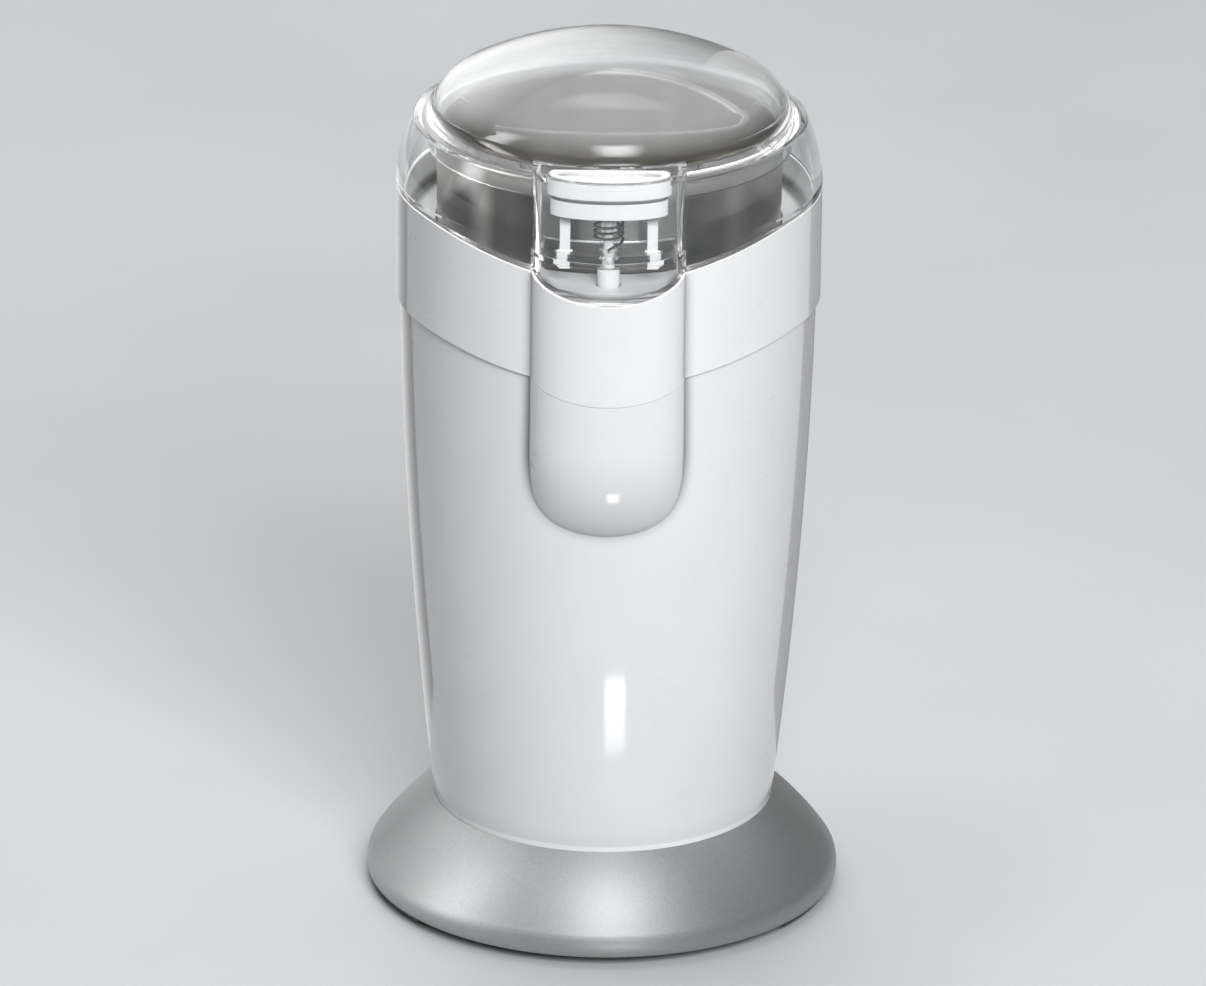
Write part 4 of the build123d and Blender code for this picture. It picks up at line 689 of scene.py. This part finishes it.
def tube(points, wire, sides=10):
    """A round tube along points, closed at both ends."""
    verts = []
    faces = []
    normal = (points[1] - points[0]).normalized().orthogonal().normalized()
    for index, point in enumerate(points):
        before = points[max(index - 1, 0)]
        after = points[min(index + 1, len(points) - 1)]
        heading = (after - before).normalized()
        normal = (normal - heading * normal.dot(heading)).normalized()
        across = heading.cross(normal)
        for side in range(sides):
            angle = 2 * pi * side / sides
            verts.append(point + (normal * cos(angle) + across * sin(angle)) * wire / 2)
    for index in range(len(points) - 1):
        for side in range(sides):
            here = index * sides + side
            beside = index * sides + (side + 1) % sides
            faces.append((here, beside, beside + sides, here + sides))
    faces.append(tuple(reversed(range(sides))))
    last = (len(points) - 1) * sides
    faces.append(tuple(range(last, last + sides)))
    return verts, faces


def pressed_coil(name, node, body, sizes, turns):
    """An upright spring on its seat, as tall as its CAD node."""
    low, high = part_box(node)
    middle = (low + high) / 2
    line = coil_line(low.z, high.z, sizes.radius, sizes.wire, turns)
    verts, faces = tube([p + Vector((middle.x, middle.y, 0)) for p in line], sizes.wire)
    piece = add_piece(name, verts, faces, body, "spring_steel", node)
    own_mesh(piece)


class GRINDER_OT_springs(Operator):
    """Wind the springs of the button, the plunger and the brushes"""
    bl_idname = "grinder.springs"
    bl_label = "Springs"

    def execute(self, context):
        sizes = context.scene.grinder_springs
        pressed_coil("button_coil", "button_spring", "lid",
                     sizes, sizes.button_turns)
        pressed_coil("plunger_coil", "plunger_spring", "base",
                     sizes, sizes.plunger_turns)
        low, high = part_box("brush_springs")
        level = (low.z + high.z) / 2
        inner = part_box("carbon_brushes")[1].x
        line = coil_line(inner, high.x, sizes.brush_radius, sizes.brush_wire, sizes.brush_turns)
        verts = []
        faces = []
        for side in (-1, 1):
            placed = [Vector((side * p.z, p.x, level + p.y)) for p in line]
            more, these = tube(placed, sizes.brush_wire, 8)
            faces += [tuple(v + len(verts) for v in face) for face in these]
            verts += more
        add_piece("brush_coils", verts, faces, "base", "spring_steel", "brush_springs")
        return {"FINISHED"}


# Stage

ONE_FACE = [(0, 1, 2, 3)]


def rectangle(across, up):
    """Corners of a flat rectangle about the origin, from half its sizes."""
    return [(-across, -up, 0), (across, -up, 0), (across, up, 0), (-across, up, 0)]


def facing(place_at, aim_at):
    """The turn that makes a lamp or a cloth look from one point at another."""
    return (Vector(aim_at) - Vector(place_at)).to_track_quat("-Z", "Y").to_euler()


def softbox(name, power, size, place_at, aim_at):
    """A soft rectangular light for matt surfaces, out of the camera's sight."""
    light = bpy.data.lights.new(name, "AREA")
    light.energy = power
    light.shape = "RECTANGLE"
    light.size, light.size_y = size
    lamp = bpy.data.objects.new(name, light)
    lamp.location = place_at
    lamp.rotation_euler = facing(place_at, aim_at)
    lamp.visible_camera = False
    lamp.visible_glossy = False
    lamp.visible_transmission = False
    bpy.context.scene.collection.objects.link(lamp)


def cloth(name, verts, faces, place_at=(0, 0, 0), aim_at=(0, 0, -1)):
    """A glowing mesh, seen only in gloss, with its node tree and its shader."""
    mesh = bpy.data.meshes.new(name)
    mesh.from_pydata(verts, [], faces)
    piece = bpy.data.objects.new(name, mesh)
    piece.location = place_at
    piece.rotation_euler = facing(place_at, aim_at)
    piece.visible_camera = False
    piece.visible_diffuse = False
    piece.visible_transmission = False
    piece.visible_shadow = False
    bpy.context.scene.collection.objects.link(piece)
    material, tree, shader = blank(name)
    shader.inputs["Base Color"].default_value = (0, 0, 0, 1)
    shader.inputs["Specular IOR Level"].default_value = 0
    shader.inputs["Emission Color"].default_value = (1, 1, 1, 1)
    mesh.materials.append(material)
    return tree, shader


def back_wall(glow):
    """A curved cloth behind and to the left, brightest behind the lid and fading to its edges."""
    reach = 1.8
    height = 1.9
    start = -125
    sweep = 195
    steps = 48
    turns = [radians(start + sweep * step / steps) for step in range(steps + 1)]
    verts = [(reach * sin(turn), reach * cos(turn), z) for turn in turns for z in (0, height)]
    faces = [(2 * step, 2 * step + 2, 2 * step + 3, 2 * step + 1) for step in range(steps)]
    tree, shader = cloth("back_wall", verts, faces)
    around = tree.nodes.new("ShaderNodeTexGradient")
    around.gradient_type = "RADIAL"
    tree.links.new(place(tree, turn=-pi / 2), around.inputs["Vector"])
    along = levels(tree, around.outputs["Fac"],
                   [(0.33, 0.0), (0.44, 0.45), (0.54, 0.65), (0.62, 0.9), (0.78, 0.9), (0.85, 0.0)])
    up = levels(tree, axis(tree, place(tree, (1, 1, 1 / height)), "Z"),
                [(0.0, 1.0), (0.45, 1.0), (0.8, 0.0)])
    tree.links.new(product(tree, along, up, glow), shader.inputs["Emission Strength"])


def canopy(glow):
    """A cloth overhead with a bright ring and middle, for the soft bands in the dome."""
    across = 1.65
    along = 0.66
    tree, shader = cloth("canopy", rectangle(across, along), ONE_FACE,
                         place_at=(0, 0.62, 1.3), aim_at=(0, 0.62, 0))
    rings = tree.nodes.new("ShaderNodeTexGradient")
    rings.gradient_type = "SPHERICAL"
    tree.links.new(place(tree, (1 / across, 1 / along, 1)), rings.inputs["Vector"])
    pattern = levels(tree, rings.outputs["Fac"],
                     [(0.0, 0.0), (0.06, 0.6), (0.12, 0.25), (0.2, 1.0), (0.3, 0.1),
                      (0.78, 0.06), (0.9, 0.6)])
    ripple = spread(tree, noise(tree, place(tree), 3, 1), 0.4, 1.0)
    tree.links.new(product(tree, pattern, ripple, glow), shader.inputs["Emission Strength"])


def banner(name, glow, size, place_at, aim_at):
    """The gloss of a softbox: a bright cloth with soft edges."""
    across, up = size[0] / 2, size[1] / 2
    tree, shader = cloth(name, rectangle(across, up), ONE_FACE, place_at, aim_at)
    where = place(tree, (1 / across, 1 / up, 1))
    sideways = levels(tree, offset(tree, where, "X"), [(0.1, 1.0), (1.0, 0.0)])
    upwards = levels(tree, offset(tree, where, "Y"), [(0.3, 1.0), (1.0, 0.0)])
    tree.links.new(product(tree, sideways, upwards, glow), shader.inputs["Emission Strength"])


def side_card(side, glow):
    """A narrow card close behind one side, for the bright line along the edge of the body."""
    inner = 47 * MM
    outer = 105 * MM
    fade_from = 70 * MM
    behind = 60 * MM
    low = 2 * MM
    high = 150 * MM
    corners = ((inner, low), (outer, low), (outer, high), (inner, high))
    tree, shader = cloth("card_left" if side < 0 else "card_right",
                         [(side * x, behind, z) for x, z in corners], ONE_FACE)
    fading = spread(tree, offset(tree, place(tree), "X"), glow, 0.0, fade_from, outer)
    tree.links.new(fading, shader.inputs["Emission Strength"])


def front_card(glow, size, place_at, aim_at):
    """A small card low in front, lit only towards the grinder, fading down and to its sides."""
    across, up = size[0] / 2, size[1] / 2
    tree, shader = cloth("front_card", rectangle(across, up), ONE_FACE, place_at, aim_at)
    where = place(tree, (1 / across, 1 / up, 1))
    sideways = spread(tree, offset(tree, where, "X"), 1.0, 0.0, 0.6, 1.0)
    upwards = levels(tree, share_of(tree, axis(tree, where, "Y"), -1, 1),
                     [(0.0, 0.0), (0.9, 1.0), (1.0, 0.6)])
    lit_side = tree.nodes.new("ShaderNodeNewGeometry").outputs["Backfacing"]
    tree.links.new(product(tree, sideways, upwards, lit_side, glow),
                   shader.inputs["Emission Strength"])


def lay_floor(tint, reach=6.0):
    """A plain floor that throws only part of its light back at the grinder."""
    mesh = bpy.data.meshes.new("floor")
    mesh.from_pydata(rectangle(reach, reach), [], ONE_FACE)
    floor = bpy.data.objects.new("floor", mesh)
    bpy.context.scene.collection.objects.link(floor)
    material, tree, shader = blank("Floor")
    seen = tones(tree, noise(tree, place(tree), 6), shade(tint, 0.97), shade(tint, 1.03))
    thrown = tree.nodes.new("ShaderNodeLightPath").outputs["Is Diffuse Ray"]
    tree.links.new(mixed(tree, thrown, seen, (*shade(tint, 0.5), 1)), shader.inputs["Base Color"])
    shader.inputs["Roughness"].default_value = 0.6
    shader.inputs["Specular IOR Level"].default_value = 0.1
    mesh.materials.append(material)


def light_room(strength):
    """Plain light from all round."""
    world = bpy.data.worlds.new("room")
    world.use_nodes = True
    background = world.node_tree.nodes["Background"]
    background.inputs["Color"].default_value = (0.85, 0.87, 0.9, 1)
    background.inputs["Strength"].default_value = strength
    bpy.context.scene.world = world


def set_camera(stage):
    """A camera with a long lens, in front of the grinder and a little above it."""
    view = Vector((0, cos(stage.elevation), -sin(stage.elevation)))
    level = Vector((1, 0, 0))
    rise = level.cross(view)
    right = level * cos(stage.roll) + rise * sin(stage.roll)
    up = rise * cos(stage.roll) - level * sin(stage.roll)
    data = bpy.data.cameras.new("camera")
    data.sensor_fit = "HORIZONTAL"
    data.sensor_width = 36
    data.lens = stage.lens
    data.clip_end = 50
    camera = bpy.data.objects.new("camera", data)
    matrix = Matrix((right, up, -view)).transposed().to_4x4()
    matrix.translation = Vector(stage.aim) - view * stage.distance
    camera.matrix_world = matrix
    bpy.context.scene.collection.objects.link(camera)
    bpy.context.scene.camera = camera


class GRINDER_OT_stage(Operator):
    """Set the floor, the lights and the camera"""
    bl_idname = "grinder.stage"
    bl_label = "Stage"

    def execute(self, context):
        stage = context.scene.grinder_stage
        lay_floor(tuple(context.scene.grinder_colours.floor))
        softbox("front softbox", stage.front_light, size=(0.9, 0.8),
                place_at=(0.38, -1.3, 1.0), aim_at=(0, 0, 0.08))
        softbox("back softbox", stage.back_light, size=(1.2, 0.8),
                place_at=(-0.3, 1.5, 1.2), aim_at=(0, 0, 0.1))
        softbox("top softbox", stage.top_light, size=(1.0, 0.6),
                place_at=(-0.1, 0.3, 1.25), aim_at=(0, 0, 0.15))
        banner("left_banner", stage.left_glow, size=(0.6, 1.5),
               place_at=(-1.25, -0.15, 0.8), aim_at=(0, 0, 0.08))
        banner("front_banner", stage.front_glow, size=(0.9, 0.9),
               place_at=(0.1, -0.95, 1.35), aim_at=(0, 0, 0.03))
        banner("lid_banner", stage.lid_glow, size=(0.8, 0.42),
               place_at=(-0.2, 0.26, 0.3), aim_at=(0, 0, 0.185))
        back_wall(stage.back_glow)
        canopy(stage.canopy_glow)
        side_card(-1, stage.edge_glow)
        side_card(1, stage.edge_glow * 0.4)
        front_card(stage.card_glow, size=(0.027, 0.034),
                   place_at=(0.0123, -0.112, 0.003), aim_at=(0.0123, -0.05, 0.06))
        light_room(stage.room)
        set_camera(stage)
        context.scene.view_settings.view_transform = "Standard"
        return {"FINISHED"}


# Panel and main

class GRINDER_PT_panel(Panel):
    """The grinder's settings and its steps"""
    bl_idname = "GRINDER_PT_panel"
    bl_label = "Coffee Grinder"
    bl_space_type = "VIEW_3D"
    bl_region_type = "UI"
    bl_category = "Grinder"

    def draw(self, context):
        for name in GROUPS:
            group = getattr(context.scene, name)
            column = self.layout.column(align=True)
            for setting in group.bl_rna.properties:
                if setting.identifier not in ("name", "rna_type"):
                    column.prop(group, setting.identifier)
        for step in OPERATORS:
            self.layout.operator(step.bl_idname)


GROUPS = {
    "grinder_colours": GrinderColours,
    "grinder_springs": GrinderSprings,
    "grinder_stage": GrinderStage,
}
OPERATORS = (
    GRINDER_OT_body,
    GRINDER_OT_lid,
    GRINDER_OT_bowl,
    GRINDER_OT_motor,
    GRINDER_OT_springs,
    GRINDER_OT_stage,
)


def register():
    for group in GROUPS.values():
        bpy.utils.register_class(group)
    for step in OPERATORS:
        bpy.utils.register_class(step)
    bpy.utils.register_class(GRINDER_PT_panel)
    for name, group in GROUPS.items():
        setattr(bpy.types.Scene, name, PointerProperty(type=group))


def unregister():
    for name in GROUPS:
        delattr(bpy.types.Scene, name)
    bpy.utils.unregister_class(GRINDER_PT_panel)
    for step in reversed(OPERATORS):
        bpy.utils.unregister_class(step)
    for group in reversed(list(GROUPS.values())):
        bpy.utils.unregister_class(group)


def main():
    register()
    bpy.ops.grinder.body()
    bpy.ops.grinder.lid()
    bpy.ops.grinder.bowl()
    bpy.ops.grinder.motor()
    bpy.ops.grinder.springs()
    bpy.ops.grinder.stage()
    bpy.context.view_layer.update()


if __name__ == "__main__":
    main()
